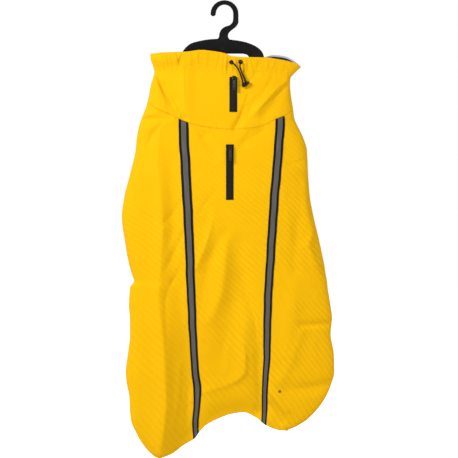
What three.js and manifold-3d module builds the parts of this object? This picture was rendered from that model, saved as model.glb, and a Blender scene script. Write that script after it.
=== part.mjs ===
import * as THREE from "three";
import { mergeVertices } from "three/addons/utils/BufferGeometryUtils.js";
import Module from "manifold-3d";

// Dog raincoat hanging on its hanger, in millimetres.
// The origin is the inner top of the hanger's hook, +Z is up, and the coat's back side faces -Y.

const wasm = await Module();
wasm.setup();

// Cloth and trim
const clothThick = 1.8;
const facingThick = 0.8;
const tapeThick = 1.0;
const zipThick = 1.2;
const seamGap = 0.3; // between pieces that meet edge to edge, and under what lies on a panel
const sideRoundness = 3; // exponent of the flattened ring: 2 is an ellipse, more is boxier

// Outline of the hanging coat, from its left and right side folds
const outline = [
  { z: -102, left: -156, right: 161 },
  { z: -116, left: -154.5, right: 161 },
  { z: -129, left: -150, right: 160.5 },
  { z: -141, left: -147.5, right: 150 },
  { z: -155, left: -150.5, right: 138.5 },
  { z: -168, left: -154.5, right: 137.5 },
  { z: -191, left: -158.5, right: 139.5 },
  { z: -216, left: -165, right: 143.5 },
  { z: -240, left: -174.5, right: 147 },
  { z: -254, left: -179, right: 153 },
  { z: -279, left: -184, right: 165 },
  { z: -305, left: -186.5, right: 173 },
  { z: -355, left: -198, right: 175.5 },
  { z: -405, left: -210.5, right: 179.5 },
  { z: -445, left: -215.5, right: 187 },
  { z: -494, left: -209.5, right: 198.5 },
  { z: -544, left: -200.5, right: 209 },
  { z: -569, left: -193, right: 213 },
  { z: -580, left: -189.5, right: 215 },
  { z: -594, left: -198, right: 216.5 },
  { z: -632, left: -200.5, right: 222.5 },
  { z: -657, left: -198.5, right: 225.5 },
  { z: -690, left: -198, right: 222.5 },
  { z: -733, left: -202.5, right: 229 },
  { z: -771, left: -207, right: 230 },
  { z: -796, left: -204.5, right: 223.5 },
  { z: -821, left: -199.5, right: 213 },
  { z: -846, left: -198.5, right: 196.5 },
  { z: -872, left: -196, right: 171 },
  { z: -884, left: -192, right: 151 },
  { z: -893, left: -187.5, right: 132 },
  { z: -909, left: -179.5, right: 132 },
  { z: -922, left: -171, right: 132 },
  { z: -935, left: -160.5, right: 132 },
  { z: -947, left: -146, right: 132 },
  { z: -951, left: -136.5, right: 132 },
];

// Front to back size of the hanging coat: the plane of its side folds,
// and how far the near and the far layer stand off it
const fullness = [
  { z: -102, middle: 0, near: 20, far: 23 },
  { z: -135, middle: 0, near: 17, far: 18 },
  { z: -165, middle: 0, near: 21, far: 21 },
  { z: -225, middle: 0, near: 25, far: 23 },
  { z: -330, middle: 0, near: 29, far: 27 },
  { z: -450, middle: 0, near: 31, far: 29 },
  { z: -580, middle: -2, near: 28, far: 26 },
  { z: -700, middle: -7, near: 22, far: 20 },
  { z: -820, middle: -11, near: 16, far: 16 },
  { z: -951, middle: -12, near: 12, far: 12 },
];

// Edges that run across the coat
const rimNear = [
  { x: -156, z: -103.5 },
  { x: -125, z: -101 },
  { x: -80, z: -99.8 },
  { x: -50, z: -96.3 },
  { x: -20, z: -99.3 },
  { x: 0, z: -103 },
  { x: 15, z: -109 },
  { x: 45, z: -111.2 },
  { x: 85, z: -112 },
  { x: 122, z: -117 },
  { x: 146, z: -122.5 },
  { x: 160.5, z: -130 },
];
const rimFar = [
  { x: -156, z: -103.5 },
  { x: -120, z: -105 },
  { x: -60, z: -107 },
  { x: 0, z: -111 },
  { x: 50, z: -112 },
  { x: 85, z: -109 },
  { x: 104, z: -104.5 },
  { x: 126, z: -107 },
  { x: 146, z: -116.5 },
  { x: 160.5, z: -130 },
];
const seamNear = [
  { x: -162, z: -206 },
  { x: -135, z: -222.5 },
  { x: -114, z: -231.5 },
  { x: -95, z: -240.5 },
  { x: -74, z: -249 },
  { x: -41, z: -257.5 },
  { x: 13, z: -262.5 },
  { x: 64, z: -259 },
  { x: 84, z: -253.5 },
  { x: 106, z: -241.5 },
  { x: 127, z: -233 },
  { x: 143, z: -222 },
];
const seamFar = [
  { x: -162, z: -206 },
  { x: -100, z: -216 },
  { x: 0, z: -224 },
  { x: 90, z: -224 },
  { x: 143, z: -222 },
];
const hem = [
  { x: -136.5, z: -951 },
  { x: -111, z: -942.3 },
  { x: -85, z: -924 },
  { x: -63, z: -911 },
  { x: -52.5, z: -897 },
  { x: -38, z: -882 },
  { x: -3.5, z: -865 },
  { x: 14, z: -859 },
  { x: 40, z: -855.3 },
  { x: 65.5, z: -866 },
  { x: 87, z: -882 },
  { x: 114.5, z: -892 },
  { x: 132, z: -893.3 },
];

// Where the trim runs down the coat: the edges of both tapes and of the zips
const trim = [
  { z: -102, tapeL0: -86, tapeL1: -67, zip0: 10.3, zip1: 26.7, tapeR0: 96, tapeR1: 114 },
  { z: -151, tapeL0: -88, tapeL1: -69, zip0: 10.3, zip1: 26.7, tapeR0: 90, tapeR1: 106 },
  { z: -224, tapeL0: -94, tapeL1: -74, zip0: 10.3, zip1: 26.7, tapeR0: 103, tapeR1: 121 },
  { z: -242, tapeL0: -95.8, tapeL1: -75, zip0: 6.2, zip1: 22.4, tapeR0: 106.5, tapeR1: 126.5 },
  { z: -271, tapeL0: -95.5, tapeL1: -74.6, zip0: 3.4, zip1: 19.6, tapeR0: 105.5, tapeR1: 125 },
  { z: -347, tapeL0: -91.4, tapeL1: -70.6, zip0: 3.2, zip1: 19.2, tapeR0: 99.6, tapeR1: 119 },
  { z: -422, tapeL0: -87.2, tapeL1: -66.8, zip0: 3.2, zip1: 19, tapeR0: 93.6, tapeR1: 112.6 },
  { z: -498, tapeL0: -83, tapeL1: -63.6, zip0: 3.2, zip1: 19, tapeR0: 89, tapeR1: 107.6 },
  { z: -573, tapeL0: -80.2, tapeL1: -61.6, zip0: 3.2, zip1: 19, tapeR0: 84.6, tapeR1: 102.4 },
  { z: -649, tapeL0: -76.6, tapeL1: -59, zip0: 3.2, zip1: 19, tapeR0: 81.4, tapeR1: 98.4 },
  { z: -725, tapeL0: -72.4, tapeL1: -56, zip0: 3.2, zip1: 19, tapeR0: 81.4, tapeR1: 96.4 },
  { z: -762, tapeL0: -70, tapeL1: -54, zip0: 3.4, zip1: 19, tapeR0: 80.8, tapeR1: 94.4 },
  { z: -800, tapeL0: -66.6, tapeL1: -50.6, zip0: 6, zip1: 21, tapeR0: 78.6, tapeR1: 91 },
  { z: -838, tapeL0: -65.2, tapeL1: -51, zip0: 10, zip1: 25, tapeR0: 78, tapeR1: 90 },
  { z: -876, tapeL0: -67.6, tapeL1: -54, zip0: 14, zip1: 29, tapeR0: 77.6, tapeR1: 88.6 },
  { z: -912, tapeL0: -66, tapeL1: -54, zip0: 16, zip1: 31, tapeR0: 77, tapeR1: 87.6 },
  { z: -951, tapeL0: -66, tapeL1: -54, zip0: 16, zip1: 31, tapeR0: 77, tapeR1: 87.6 },
];

// Largest folds of the near layer: each is a soft ridge (plus) or trough (minus) down a path
// of [x, z, width, height]
const folds = [
  { fold: "collar, left sweep", path: [[-146, -143, 11, -5], [-110, -206, 11, -4]] },
  { fold: "collar, sweep to the tape", path: [[-124, -172, 12, -3], [-87, -240, 12, -5]] },
  { fold: "collar, ridge over the tape", path: [[-78, -128, 13, 2], [-80, -232, 13, 3]] },
  { fold: "collar, right ridge", path: [[136, -160, 12, 3], [70, -222, 12, 4]] },
  { fold: "collar, right sweep", path: [[122, -174, 13, -5], [80, -238, 13, -2]] },
  { fold: "collar, below the zip", path: [[56, -214, 9, -3], [24, -258, 9, -4]] },
  { fold: "left end of the seam", path: [[-168, -242, 9, -6], [-118, -236, 9, -3]] },
  { fold: "left shoulder", path: [[-165, -262, 15, 4], [-130, -250, 15, 2]] },
  { fold: "left of the zip", path: [[-40, -278, 10, -3], [-20, -306, 10, -2]] },
  { fold: "right of the zip", path: [[38, -296, 11, -2], [80, -262, 11, -3]] },
  { fold: "right shoulder", path: [[128, -316, 14, -4], [174, -358, 14, -5]] },
  {
    fold: "long ridge of the left lobe",
    path: [
      [-140, -300, 15, 2.5], [-131, -400, 15, 4], [-129, -470, 15, 5], [-134, -560, 15, 4],
      [-138, -620, 16, 5], [-129, -703, 17, 7], [-124, -798, 17, 8], [-123, -850, 17, 8],
      [-136, -949, 17, 6],
    ],
  },
  {
    fold: "hollow beside the long ridge",
    path: [
      [-112, -330, 14, -1.5], [-106, -430, 16, -3.5], [-108, -520, 16, -4], [-104, -600, 20, -5],
      [-94, -700, 22, -6], [-90, -800, 24, -7], [-92, -880, 24, -7], [-104, -935, 22, -6],
    ],
  },
  {
    fold: "ridge below the back zip",
    path: [
      [-14, -452, 12, 1.5], [1, -520, 13, 3.5], [-1, -560, 14, 4.5], [-8, -611, 14, 4.5],
      [-26, -655, 14, 2.5],
    ],
  },
  {
    fold: "hollow below the back zip",
    path: [
      [20, -505, 14, -3], [16, -560, 16, -4.5], [8, -620, 17, -4.5], [-6, -690, 18, -3.5],
      [-14, -740, 16, -2],
    ],
  },
  {
    fold: "ridge towards the left tape",
    path: [
      [-26, -451, 9, 1], [-39, -506, 10, 3], [-58, -548, 10, 2],
    ],
  },
  {
    fold: "hollow towards the left tape",
    path: [
      [-5, -484, 12, -3], [-30, -540, 13, -4], [-44, -600, 14, -3.5], [-50, -680, 14, -2],
    ],
  },
  {
    fold: "hollow beside the right tape",
    path: [
      [37, -575, 10, -1.5], [47, -610, 11, -3], [64, -666, 12, -4], [70, -724, 13, -3.5],
      [66, -850, 16, -5],
    ],
  },
  {
    fold: "ridge across the middle of the hem",
    path: [
      [-60, -832, 13, 3], [-30, -812, 13, 4], [14, -796, 13, 5], [38, -780, 13, 5], [39, -735, 12, 4],
      [36, -690, 12, 2],
    ],
  },
  {
    fold: "middle of the hem, curled in",
    path: [
      [-112, -962, 26, -6], [-85, -940, 28, -7], [-50, -905, 28, -8], [-10, -872, 30, -9],
      [40, -862, 30, -9], [90, -890, 26, -6],
    ],
  },
  {
    fold: "ridge along the right side",
    path: [
      [171, -384, 10, 2], [174, -441, 10, 3.5], [186, -477, 10, 3.5], [176, -508, 11, 4],
      [194, -548, 11, 3.5], [214, -580, 10, 2],
    ],
  },
  { fold: "hollow at the right side", path: [[200, -508, 12, -4], [213, -560, 12, -4]] },
  {
    fold: "hollow right of the right tape",
    path: [
      [154, -451, 11, -2.5], [146, -514, 11, -3], [150, -556, 11, -2],
    ],
  },
  {
    fold: "swell right of the right tape",
    path: [
      [150, -590, 18, 2], [141, -660, 20, 4], [130, -730, 18, 3],
    ],
  },
  { fold: "nip at the right side", path: [[163, -672, 8, -3], [221, -670, 8, -5]] },
  {
    fold: "ridge of the right lobe",
    path: [
      [163, -684, 11, 2], [137, -754, 12, 3.5], [112, -792, 12, 3],
    ],
  },
  {
    fold: "hollow of the right lobe",
    path: [
      [137, -808, 14, -3], [184, -806, 14, -5], [226, -796, 14, -5],
    ],
  },
  { fold: "ridge at the right tape's end", path: [[92, -808, 8, 2.5], [129, -850, 8, 2.5]] },
  { fold: "hollow at the right tape's end", path: [[96, -840, 10, -4], [120, -872, 10, -4]] },
];

// Columns across each stretch of the near layer, as shares of the stretch
const edgeShares = [0, 0.03, 0.1, 0.22, 0.38, 0.54, 0.7, 0.86];
const innerShares = steps(0, 1, 6).slice(0, -1);
const wrapShares = [0.07, 0.28, 0.62, 1];
const farShares = [0.985, 0.95, 0.88, 0.77, 0.62, 0.42, 0.2, -0.05, -0.3, -0.52, -0.7, -0.84, -0.93, -0.98];

// Rows down the collar and the back, as shares of the way from their upper to their lower edge
const collarRows = [0, 0.08, 0.16, 0.27, 0.39, 0.51, 0.63, 0.75, 0.875, 1];
const facingRows = 4; // the collar's upper rows that the facing lines
const backZipTop = 0.0535;
const backZipEnd = 0.248;
const zipRows = steps(backZipTop, backZipEnd, 8);
const backRows = [0, backZipTop / 2, ...zipRows, ...steps(backZipEnd, 1, 30).slice(1)];

// How far the back turns round onto the far side, as a share of the half width
const wrap = [
  { z: -200, left: 0.07, right: 0.07 },
  { z: -590, left: 0.07, right: 0.07 },
  { z: -640, left: 0.09, right: 0.1 },
  { z: -951, left: 0.05, right: 0.05 },
];

// Side panels, between the back's turns and the chest panel and belly strap
const sideInner = 0.3; // their inner edge, as a share of the half width from the side fold
const sideBottom = -576;
const sideColumns = 5;
const sideRows = 16;

// Chest panel and belly strap, on the far side
const acrossFar = steps(1, -1, 10);
const chestRows = 16;
const strapRows = 4;
const chestEdge = [
  { z: -200, share: 0.7 },
  { z: -282, share: 0.7 },
  { z: -300, share: 0.6 },
  { z: -335, share: 0.44 },
  { z: -420, share: 0.37 },
  { z: -500, share: 0.36 },
];
const sideGapShare = 0.005; // between pieces that meet on the far side
const strapTop = -496;
const strapDrop = 66;

// Zip sliders and pull tabs
const sliderWide = 8.4;
const sliderTall = 11;
const sliderThick = 2.8;
const sliderCorner = 2.4;
const sliderLift = 0.7; // over the zip strip
const bailWide = 1.8;
const bailWall = 1.2;
const bailRoomOut = 2.9;
const bailRoomTall = 3.4;
const bailRoot = 0.5; // how deep the bail is set into the slider
const pullWide = 6;
const pullThick = 1.6;
const pullBar = 1.6;
const pullCorner = 1.4;
const pullWindow = { wide: 2.9, tall: 3.8 };
const pullEye = { up: 3.4, radius: 1.5 };
const leanOver = 16; // the height that a slider lies against
const zips = [
  { on: "collar", rows: [3, 7], x: 20.4, z: -156.5, pull: 26 },
  { on: "back", rows: [2, 2 + zipRows.length - 1], x: 11.8, z: -301, pull: 28 },
];

// Drawcord
const cordDiameter = 3;
const cordSides = 8;
const eyelet = { outer: 4.7, hole: 2, thick: 1.1, lift: 0.5 };
const cords = [
  {
    side: "left",
    eyelet: { x: 14.5, z: -122 },
    route: [
      [14.5, -20.1, -122],
      [15, -22.8, -122.5],
      [17.2, -24.8, -124.4],
      [21, -25.2, -127.8],
      [25.2, -24.2, -132],
      [28.8, -23, -137.2],
      [31.8, -22.4, -143.4],
      [34.3, -22.8, -150.2],
      [36.5, -24, -157.6],
      [38.4, -25.4, -166],
    ],
  },
  {
    side: "right",
    eyelet: { x: 33.6, z: -121.2 },
    route: [
      [33.6, -20.1, -121.4],
      [33.5, -22.8, -122.4],
      [32.9, -24.4, -125.6],
      [32.4, -24, -130.2],
      [33.4, -22.9, -136],
      [35.6, -22.4, -142.6],
      [38.9, -22.8, -149.4],
      [42.2, -24, -156.4],
      [44.8, -25.4, -162.4],
    ],
  },
];
const lock = { x: 43.6, y: -22, z: -168.6, long: 17, thick: 8, deep: 7, tilt: 27 };

// Hanger. The hook's inner top is the origin; the outline's stretches are [x, z] and run
// from the hook down the right side, back up the left side and round the hook's inside.
const hangerThick = 5;
const hookSteps = 12;
const hook = { inner: 18.2, outer: 29.4, level: -19, top: 9.5, tip: 5.2 };
const stem = [
  [29.4, -37.8], [24.6, -45.8], [16.6, -52.3], [10.1, -58], [7.8, -63], [7.8, -68.3], [10.9, -73.1],
];
const barRight = [
  [28, -75.2], [45.2, -78.8], [60, -84.4], [70.4, -90.3], [78, -97.8], [82.2, -106],
];
const armRight = [
  [84.5, -119], [91, -135], [103, -151], [118, -165], [131, -177],
];
const underRight = [
  [131, -195], [120, -188], [101, -173], [80, -158], [62, -142], [53.5, -125], [51, -109.2],
  [45.2, -104.4], [36.8, -102.9],
];
const underLeft = [
  [-44, -102.9], [-52.4, -104.4], [-58.2, -109.2], [-61, -125], [-70, -143], [-90, -162],
  [-114, -181], [-138, -198], [-150, -204],
];
const armLeft = [
  [-150, -186], [-132, -169], [-113, -152], [-99.5, -135], [-93.5, -119],
];
const barLeft = [
  [-91.5, -107], [-87.5, -97.5], [-77.5, -86.2], [-66.2, -79.6], [-43.7, -74.4], [-28.4, -72.4],
];
const neck = [
  [-14.5, -71.6], [-11.6, -67.5], [-11.1, -62], [-8.4, -54.6], [-3.6, -49.1], [2.1, -45.8],
  [7.5, -44.2], [12.6, -41.6], [17, -36], [18.2, -29],
];
const armTouch = { right: -187, left: -197 }; // where the arms reach the collar's side folds
const armSlack = 1.7;

// Values from tables

function steps(from, to, count) {
  return Array.from({ length: count + 1 }, (_, i) => from + ((to - from) * i) / count);
}

// A smooth curve through a table's rows; rows run down in z or up in x.
function read(table, column, key, at) {
  const sign = table[0][key] > table[table.length - 1][key] ? -1 : 1;
  const s = sign * at;
  const where = (i) => sign * table[i][key];
  const last = table.length - 1;
  if (s <= where(0)) return table[0][column];
  if (s >= where(last)) return table[last][column];
  let i = 0;
  while (where(i + 1) < s) i += 1;
  const rise = (k) => (table[k + 1][column] - table[k][column]) / (where(k + 1) - where(k));
  const slope = (k) => {
    const before = rise(Math.max(k - 1, 0));
    const after = rise(Math.min(k, last - 1));
    return before * after > 0 ? (2 * before * after) / (before + after) : 0;
  };
  const step = where(i + 1) - where(i);
  const u = (s - where(i)) / step;
  const a = table[i][column];
  const b = table[i + 1][column];
  return (
    a * (1 + 2 * u) * (1 - u) ** 2 +
    slope(i) * step * u * (1 - u) ** 2 +
    b * u * u * (3 - 2 * u) +
    slope(i + 1) * step * u * u * (u - 1)
  );
}

const leftAt = (z) => read(outline, "left", "z", z);
const rightAt = (z) => read(outline, "right", "z", z);
const trimAt = (name, z) => read(trim, name, "z", z);
const mix = (a, b, share) => a + (b - a) * share;

// The ring's standing off from its middle plane, 0 at the side folds and 1 in the centre
function crown(x, z) {
  const left = leftAt(z);
  const right = rightAt(z);
  const share = Math.min(Math.abs((2 * x - left - right) / (right - left)), 1);
  return (1 - share ** sideRoundness) ** (1 / sideRoundness);
}

// How far a hanger arm reaches into the side fold it bears on
function armReach(side) {
  const away = clothThick + armSlack;
  return side === "left" ? leftAt(armTouch.left) + away : rightAt(armTouch.right) - away;
}

// The nearest place on a fold's path: how far it is, and the fold's width and height there
function nearestOn(path, x, z) {
  let nearest = { away: Infinity };
  for (let i = 1; i < path.length; i += 1) {
    const [x0, z0, width0, height0] = path[i - 1];
    const [x1, z1, width1, height1] = path[i];
    const dx = x1 - x0;
    const dz = z1 - z0;
    const along = Math.min(Math.max(((x - x0) * dx + (z - z0) * dz) / (dx * dx + dz * dz), 0), 1);
    const away = Math.hypot(x - x0 - along * dx, z - z0 - along * dz);
    if (away < nearest.away) {
      nearest = { away, width: mix(width0, width1, along), height: mix(height0, height1, along) };
    }
  }
  return nearest;
}

function foldHeight(x, z) {
  let height = 0;
  for (const fold of folds) {
    const nearest = nearestOn(fold.path, x, z);
    height += nearest.height * Math.exp(-((nearest.away / nearest.width) ** 2));
  }
  return height;
}

function nearY(x, z) {
  const rise = crown(x, z);
  return read(fullness, "middle", "z", z) - read(fullness, "near", "z", z) * rise - foldHeight(x, z) * rise;
}

function farY(x, z) {
  return read(fullness, "middle", "z", z) + read(fullness, "far", "z", z) * crown(x, z);
}

// Columns of the near layer, from the left side fold to the right one, as functions of z
function nearColumns() {
  const guides = [
    { from: leftAt, to: (z) => trimAt("tapeL0", z), shares: edgeShares },
    { from: (z) => trimAt("tapeL0", z), to: (z) => trimAt("tapeL1", z), shares: [0] },
    { from: (z) => trimAt("tapeL1", z), to: (z) => trimAt("zip0", z), shares: innerShares },
    { from: (z) => trimAt("zip0", z), to: (z) => trimAt("zip1", z), shares: [0] },
    { from: (z) => trimAt("zip1", z), to: (z) => trimAt("tapeR0", z), shares: innerShares },
    { from: (z) => trimAt("tapeR0", z), to: (z) => trimAt("tapeR1", z), shares: [0] },
    { from: rightAt, to: (z) => trimAt("tapeR1", z), shares: [...edgeShares, 1].reverse() },
  ];
  return guides.flatMap((g) => g.shares.map((share) => (z) => mix(g.from(z), g.to(z), share)));
}
const near = nearColumns().map((x) => ({ x, y: nearY, upper: seamNear }));
const tapeLeftColumn = edgeShares.length;
const zipColumn = tapeLeftColumn + 1 + innerShares.length;
const tapeRightColumn = zipColumn + 1 + innerShares.length;

// A column of the far layer, at a share of the half width: -1 is the left side fold and 1 the right one
function farColumn(share) {
  const at = typeof share === "number" ? () => share : share;
  return { x: (z) => mix(leftAt(z), rightAt(z), (at(z) + 1) / 2), y: farY, upper: seamFar };
}

// The height where a column meets an edge that runs across the coat, closed in on step by step
const meetSteps = 60;
function meet(column, edge) {
  let z = (edge[0].z + edge[edge.length - 1].z) / 2;
  for (let i = 0; i < meetSteps; i += 1) z = mix(z, read(edge, "z", "x", column.x(z)), 0.5);
  return z;
}

// Points on the outer face between two heights of each column, with their normals
function lay(columns, rows, upper, lower, closed = false) {
  const tops = columns.map(upper);
  const ends = columns.map(lower);
  const points = rows.map((share) =>
    columns.map((c, i) => {
      const z = mix(tops[i], ends[i], share);
      const x = c.x(z);
      return new THREE.Vector3(x, c.y(x, z), z);
    }),
  );
  const count = columns.length;
  const normals = points.map((row, j) =>
    row.map((_, i) => {
      const before = closed ? (i + count - 1) % count : Math.max(i - 1, 0);
      const after = closed ? (i + 1) % count : Math.min(i + 1, count - 1);
      const across = row[after].clone().sub(row[before]);
      const down = points[Math.min(j + 1, rows.length - 1)][i].clone().sub(points[Math.max(j - 1, 0)][i]);
      const normal = down.cross(across);
      if (j === 0 || j === rows.length - 1) normal.z = 0; // edges stay level so that seams meet squarely
      return normal.normalize();
    }),
  );
  return { points, normals, closed };
}

// A closed wall between two offsets from a laid face
function wallOf({ points, normals, closed }, inner, outer) {
  const rows = points.length;
  const columns = points[0].length;
  const position = [];
  for (const offset of [outer, inner]) {
    points.forEach((row, j) =>
      row.forEach((p, i) => {
        const q = p.clone().addScaledVector(normals[j][i], offset);
        position.push(q.x, q.y, q.z);
      }),
    );
  }
  const at = (side, j, i) => (side * rows + j) * columns + (i % columns);
  const index = [];
  const quad = (a, b, c, d) => index.push(a, b, c, a, c, d);
  const spans = closed ? columns : columns - 1;
  const bottom = rows - 1;
  const end = columns - 1;
  for (let i = 0; i < spans; i += 1) {
    for (let j = 0; j < bottom; j += 1) {
      quad(at(0, j, i), at(0, j + 1, i), at(0, j + 1, i + 1), at(0, j, i + 1));
      quad(at(1, j, i), at(1, j, i + 1), at(1, j + 1, i + 1), at(1, j + 1, i));
    }
    quad(at(0, 0, i), at(0, 0, i + 1), at(1, 0, i + 1), at(1, 0, i));
    quad(at(1, bottom, i), at(1, bottom, i + 1), at(0, bottom, i + 1), at(0, bottom, i));
  }
  for (let j = 0; j < bottom && !closed; j += 1) {
    quad(at(0, j, 0), at(1, j, 0), at(1, j + 1, 0), at(0, j + 1, 0));
    quad(at(1, j, end), at(0, j, end), at(0, j + 1, end), at(1, j + 1, end));
  }
  const geometry = new THREE.BufferGeometry();
  geometry.setAttribute("position", new THREE.Float32BufferAttribute(position, 3));
  geometry.setIndex(index);
  return geometry;
}

// The stretch of a laid face that a strip covers
function part(face, rows, columns) {
  const cutRow = (row) => row.slice(columns[0], columns[1] + 1);
  const cut = (grid) => grid.slice(rows[0], rows[1] + 1).map(cutRow);
  return { points: cut(face.points), normals: cut(face.normals), closed: false };
}

const laidOn = (face, rows, columns, thick) =>
  wallOf(part(face, rows, columns), seamGap, seamGap + thick);

// Solids joined from closed geometries

const weld = 1e-4; // points this near each other are one vertex
function solid(geometry) {
  const bare = geometry.clone();
  bare.deleteAttribute("normal");
  bare.deleteAttribute("uv");
  const merged = mergeVertices(bare, weld);
  const mesh = new wasm.Mesh({
    numProp: 3,
    vertProperties: new Float32Array(merged.attributes.position.array),
    triVerts: new Uint32Array(merged.index.array),
  });
  return new wasm.Manifold(mesh);
}

function joined(...geometries) {
  const mesh = geometries.map(solid).reduce((a, b) => a.add(b)).getMesh();
  const geometry = new THREE.BufferGeometry();
  geometry.setAttribute("position", new THREE.Float32BufferAttribute(Array.from(mesh.vertProperties), 3));
  geometry.setIndex(Array.from(mesh.triVerts));
  return geometry;
}

// A flat plate drawn in the XZ plane, from y = from to y = to
const roundSteps = 6;
function plate(shape, from, to, curveSegments = roundSteps) {
  const settings = { depth: to - from, bevelEnabled: false, curveSegments };
  const geometry = new THREE.ExtrudeGeometry(shape, settings);
  geometry.rotateX(Math.PI / 2);
  geometry.translate(0, to, 0);
  return geometry;
}

function roundedRect(wide, tall, radius, zTop) {
  const shape = new THREE.Shape();
  const x = wide / 2;
  const z = zTop - tall;
  shape.moveTo(-x + radius, z);
  shape.lineTo(x - radius, z);
  shape.quadraticCurveTo(x, z, x, z + radius);
  shape.lineTo(x, zTop - radius);
  shape.quadraticCurveTo(x, zTop, x - radius, zTop);
  shape.lineTo(-x + radius, zTop);
  shape.quadraticCurveTo(-x, zTop, -x, zTop - radius);
  shape.lineTo(-x, z + radius);
  shape.quadraticCurveTo(-x, z, -x + radius, z);
  return shape;
}

// Colours

const cloth = { color: 0xfac10d, roughness: 0.62, metalness: 0 };
const facing = { color: 0x191b26, roughness: 0.85, metalness: 0 };
const trimBlack = { color: 0x1d1c1e, roughness: 0.6, metalness: 0 };
const tapeGrey = { color: 0x5b5856, roughness: 0.5, metalness: 0 };
const plastic = { color: 0x101012, roughness: 0.35, metalness: 0 };

const coat = new THREE.Group();

function add(name, geometry, finish, parent = coat) {
  const mesh = new THREE.Mesh(geometry, new THREE.MeshStandardMaterial(finish));
  mesh.name = name;
  parent.add(mesh);
  return mesh;
}

// Collar: a closed tube whose rim flares out past its casing
const farRing = farShares.map((share) => farColumn(share));
const ring = [...near, ...farRing];
const rimOf = (c) => meet(c, c.y === nearY ? rimNear : rimFar);
const aboveSeam = (c) => meet(c, c.upper) + seamGap / 2;
const belowSeam = (c) => meet(c, c.upper) - seamGap / 2;
const collarFace = lay(ring, collarRows, rimOf, aboveSeam, true);
add("collar", wallOf(collarFace, -clothThick, 0), cloth);

// Facing inside the rim, all round
const facingFace = {
  points: collarFace.points.slice(0, facingRows),
  normals: collarFace.normals.slice(0, facingRows),
  closed: true,
};
const facingOuter = -clothThick - seamGap;
add("collar_facing", wallOf(facingFace, facingOuter - facingThick, facingOuter), facing);

// Back: near layer with its turns onto the far side
const wrapAt = (side, z) => read(wrap, side, "z", z);
const turnRight = wrapShares.map((share) => farColumn((z) => 1 - share * wrapAt("right", z)));
const turnLeft = wrapShares.map((share) => farColumn((z) => -1 + share * wrapAt("left", z))).reverse();
const backColumns = [...turnLeft, ...near, ...turnRight];
const backFace = lay(backColumns, backRows, belowSeam, (c) => meet(c, hem), false);
add("back_panel", wallOf(backFace, -clothThick, 0), cloth);

// Side panels, each from the back's turn to the edge where the chest panel and the belly strap begin
for (const side of ["right", "left"]) {
  const sign = side === "right" ? 1 : -1;
  const start = (z) => 1 - wrapAt(side, z) - sideGapShare;
  const across = steps(0, 1, sideColumns - 1);
  const columns = across.map((a) => farColumn((z) => sign * mix(start(z), 1 - sideInner, a)));
  if (sign < 0) columns.reverse();
  const face = lay(columns, steps(0, 1, sideRows), belowSeam, () => sideBottom);
  add(`side_${side}`, wallOf(face, -clothThick, 0), cloth);
}

// Chest panel and belly strap close the far side and leave two leg openings
const chestShare = (z) => read(chestEdge, "share", "z", z) - sideGapShare;
const chestColumns = acrossFar.map((a) => farColumn((z) => a * chestShare(z)));
const chestFace = lay(chestColumns, steps(0, 1, chestRows), belowSeam, () => strapTop + seamGap);
add("chest_panel", wallOf(chestFace, -clothThick, 0), cloth);
const strapShare = 1 - sideInner - sideGapShare;
const strapColumns = acrossFar.map((a) => farColumn(a * strapShare));
const strapFace = lay(strapColumns, steps(0, 1, strapRows), () => strapTop, () => strapTop - strapDrop);
add("belly_strap", wallOf(strapFace, -clothThick, 0), cloth);

// Reflective tapes, sewn on from the collar seam to the hem
const allRows = [0, backRows.length - 1];
const onBack = (column) => [turnLeft.length + column, turnLeft.length + column + 1];
add("tape_left", laidOn(backFace, allRows, onBack(tapeLeftColumn), tapeThick), tapeGrey);
add("tape_right", laidOn(backFace, allRows, onBack(tapeRightColumn), tapeThick), tapeGrey);

// Zips: a closed strip, its slider with a bail, and the pull tab that swings on the bail

// A bar along X whose section is drawn in the YZ plane
function bar(section, long) {
  const geometry = new THREE.ExtrudeGeometry(section, { depth: long, bevelEnabled: false });
  geometry.rotateX(Math.PI / 2);
  geometry.rotateZ(Math.PI / 2);
  geometry.translate(-long / 2, 0, 0);
  return geometry;
}

function polygon(points, Kind = THREE.Shape) {
  return new Kind(points.map(([a, b]) => new THREE.Vector2(a, b)));
}

function sliderGeometry() {
  const body = plate(roundedRect(sliderWide, sliderTall, sliderCorner, sliderTall / 2), -sliderThick, 0);
  const foot = -sliderThick + bailRoot;
  const roof = -sliderThick - bailRoomOut;
  const half = bailRoomTall / 2;
  const section = polygon([
    [foot, half + bailWall],
    [roof - bailWall, half + bailWall],
    [roof - bailWall, -half - bailWall],
    [foot, -half - bailWall],
    [foot, -half],
    [roof, -half],
    [roof, half],
    [foot, half],
  ]);
  return joined(body, bar(section, bailWide));
}

function pullGeometry(long) {
  const outlineOfPull = roundedRect(pullWide, long, pullCorner, pullBar / 2);
  const x = pullWindow.wide / 2;
  const top = -pullBar / 2;
  const sill = top - pullWindow.tall;
  const window = polygon([[-x, top], [x, top], [x, sill], [-x, sill]], THREE.Path);
  const eye = new THREE.Path();
  eye.absarc(0, pullBar / 2 - long + pullEye.up, pullEye.radius, 0, Math.PI * 2, false);
  outlineOfPull.holes.push(window, eye);
  return plate(outlineOfPull, -pullThick / 2, pullThick / 2, roundSteps - 2);
}

// How much the near layer leans, from its standing off over a height
const leanAt = (x, z, over) => (nearY(x, z + over / 2) - nearY(x, z - over / 2)) / over;

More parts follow.
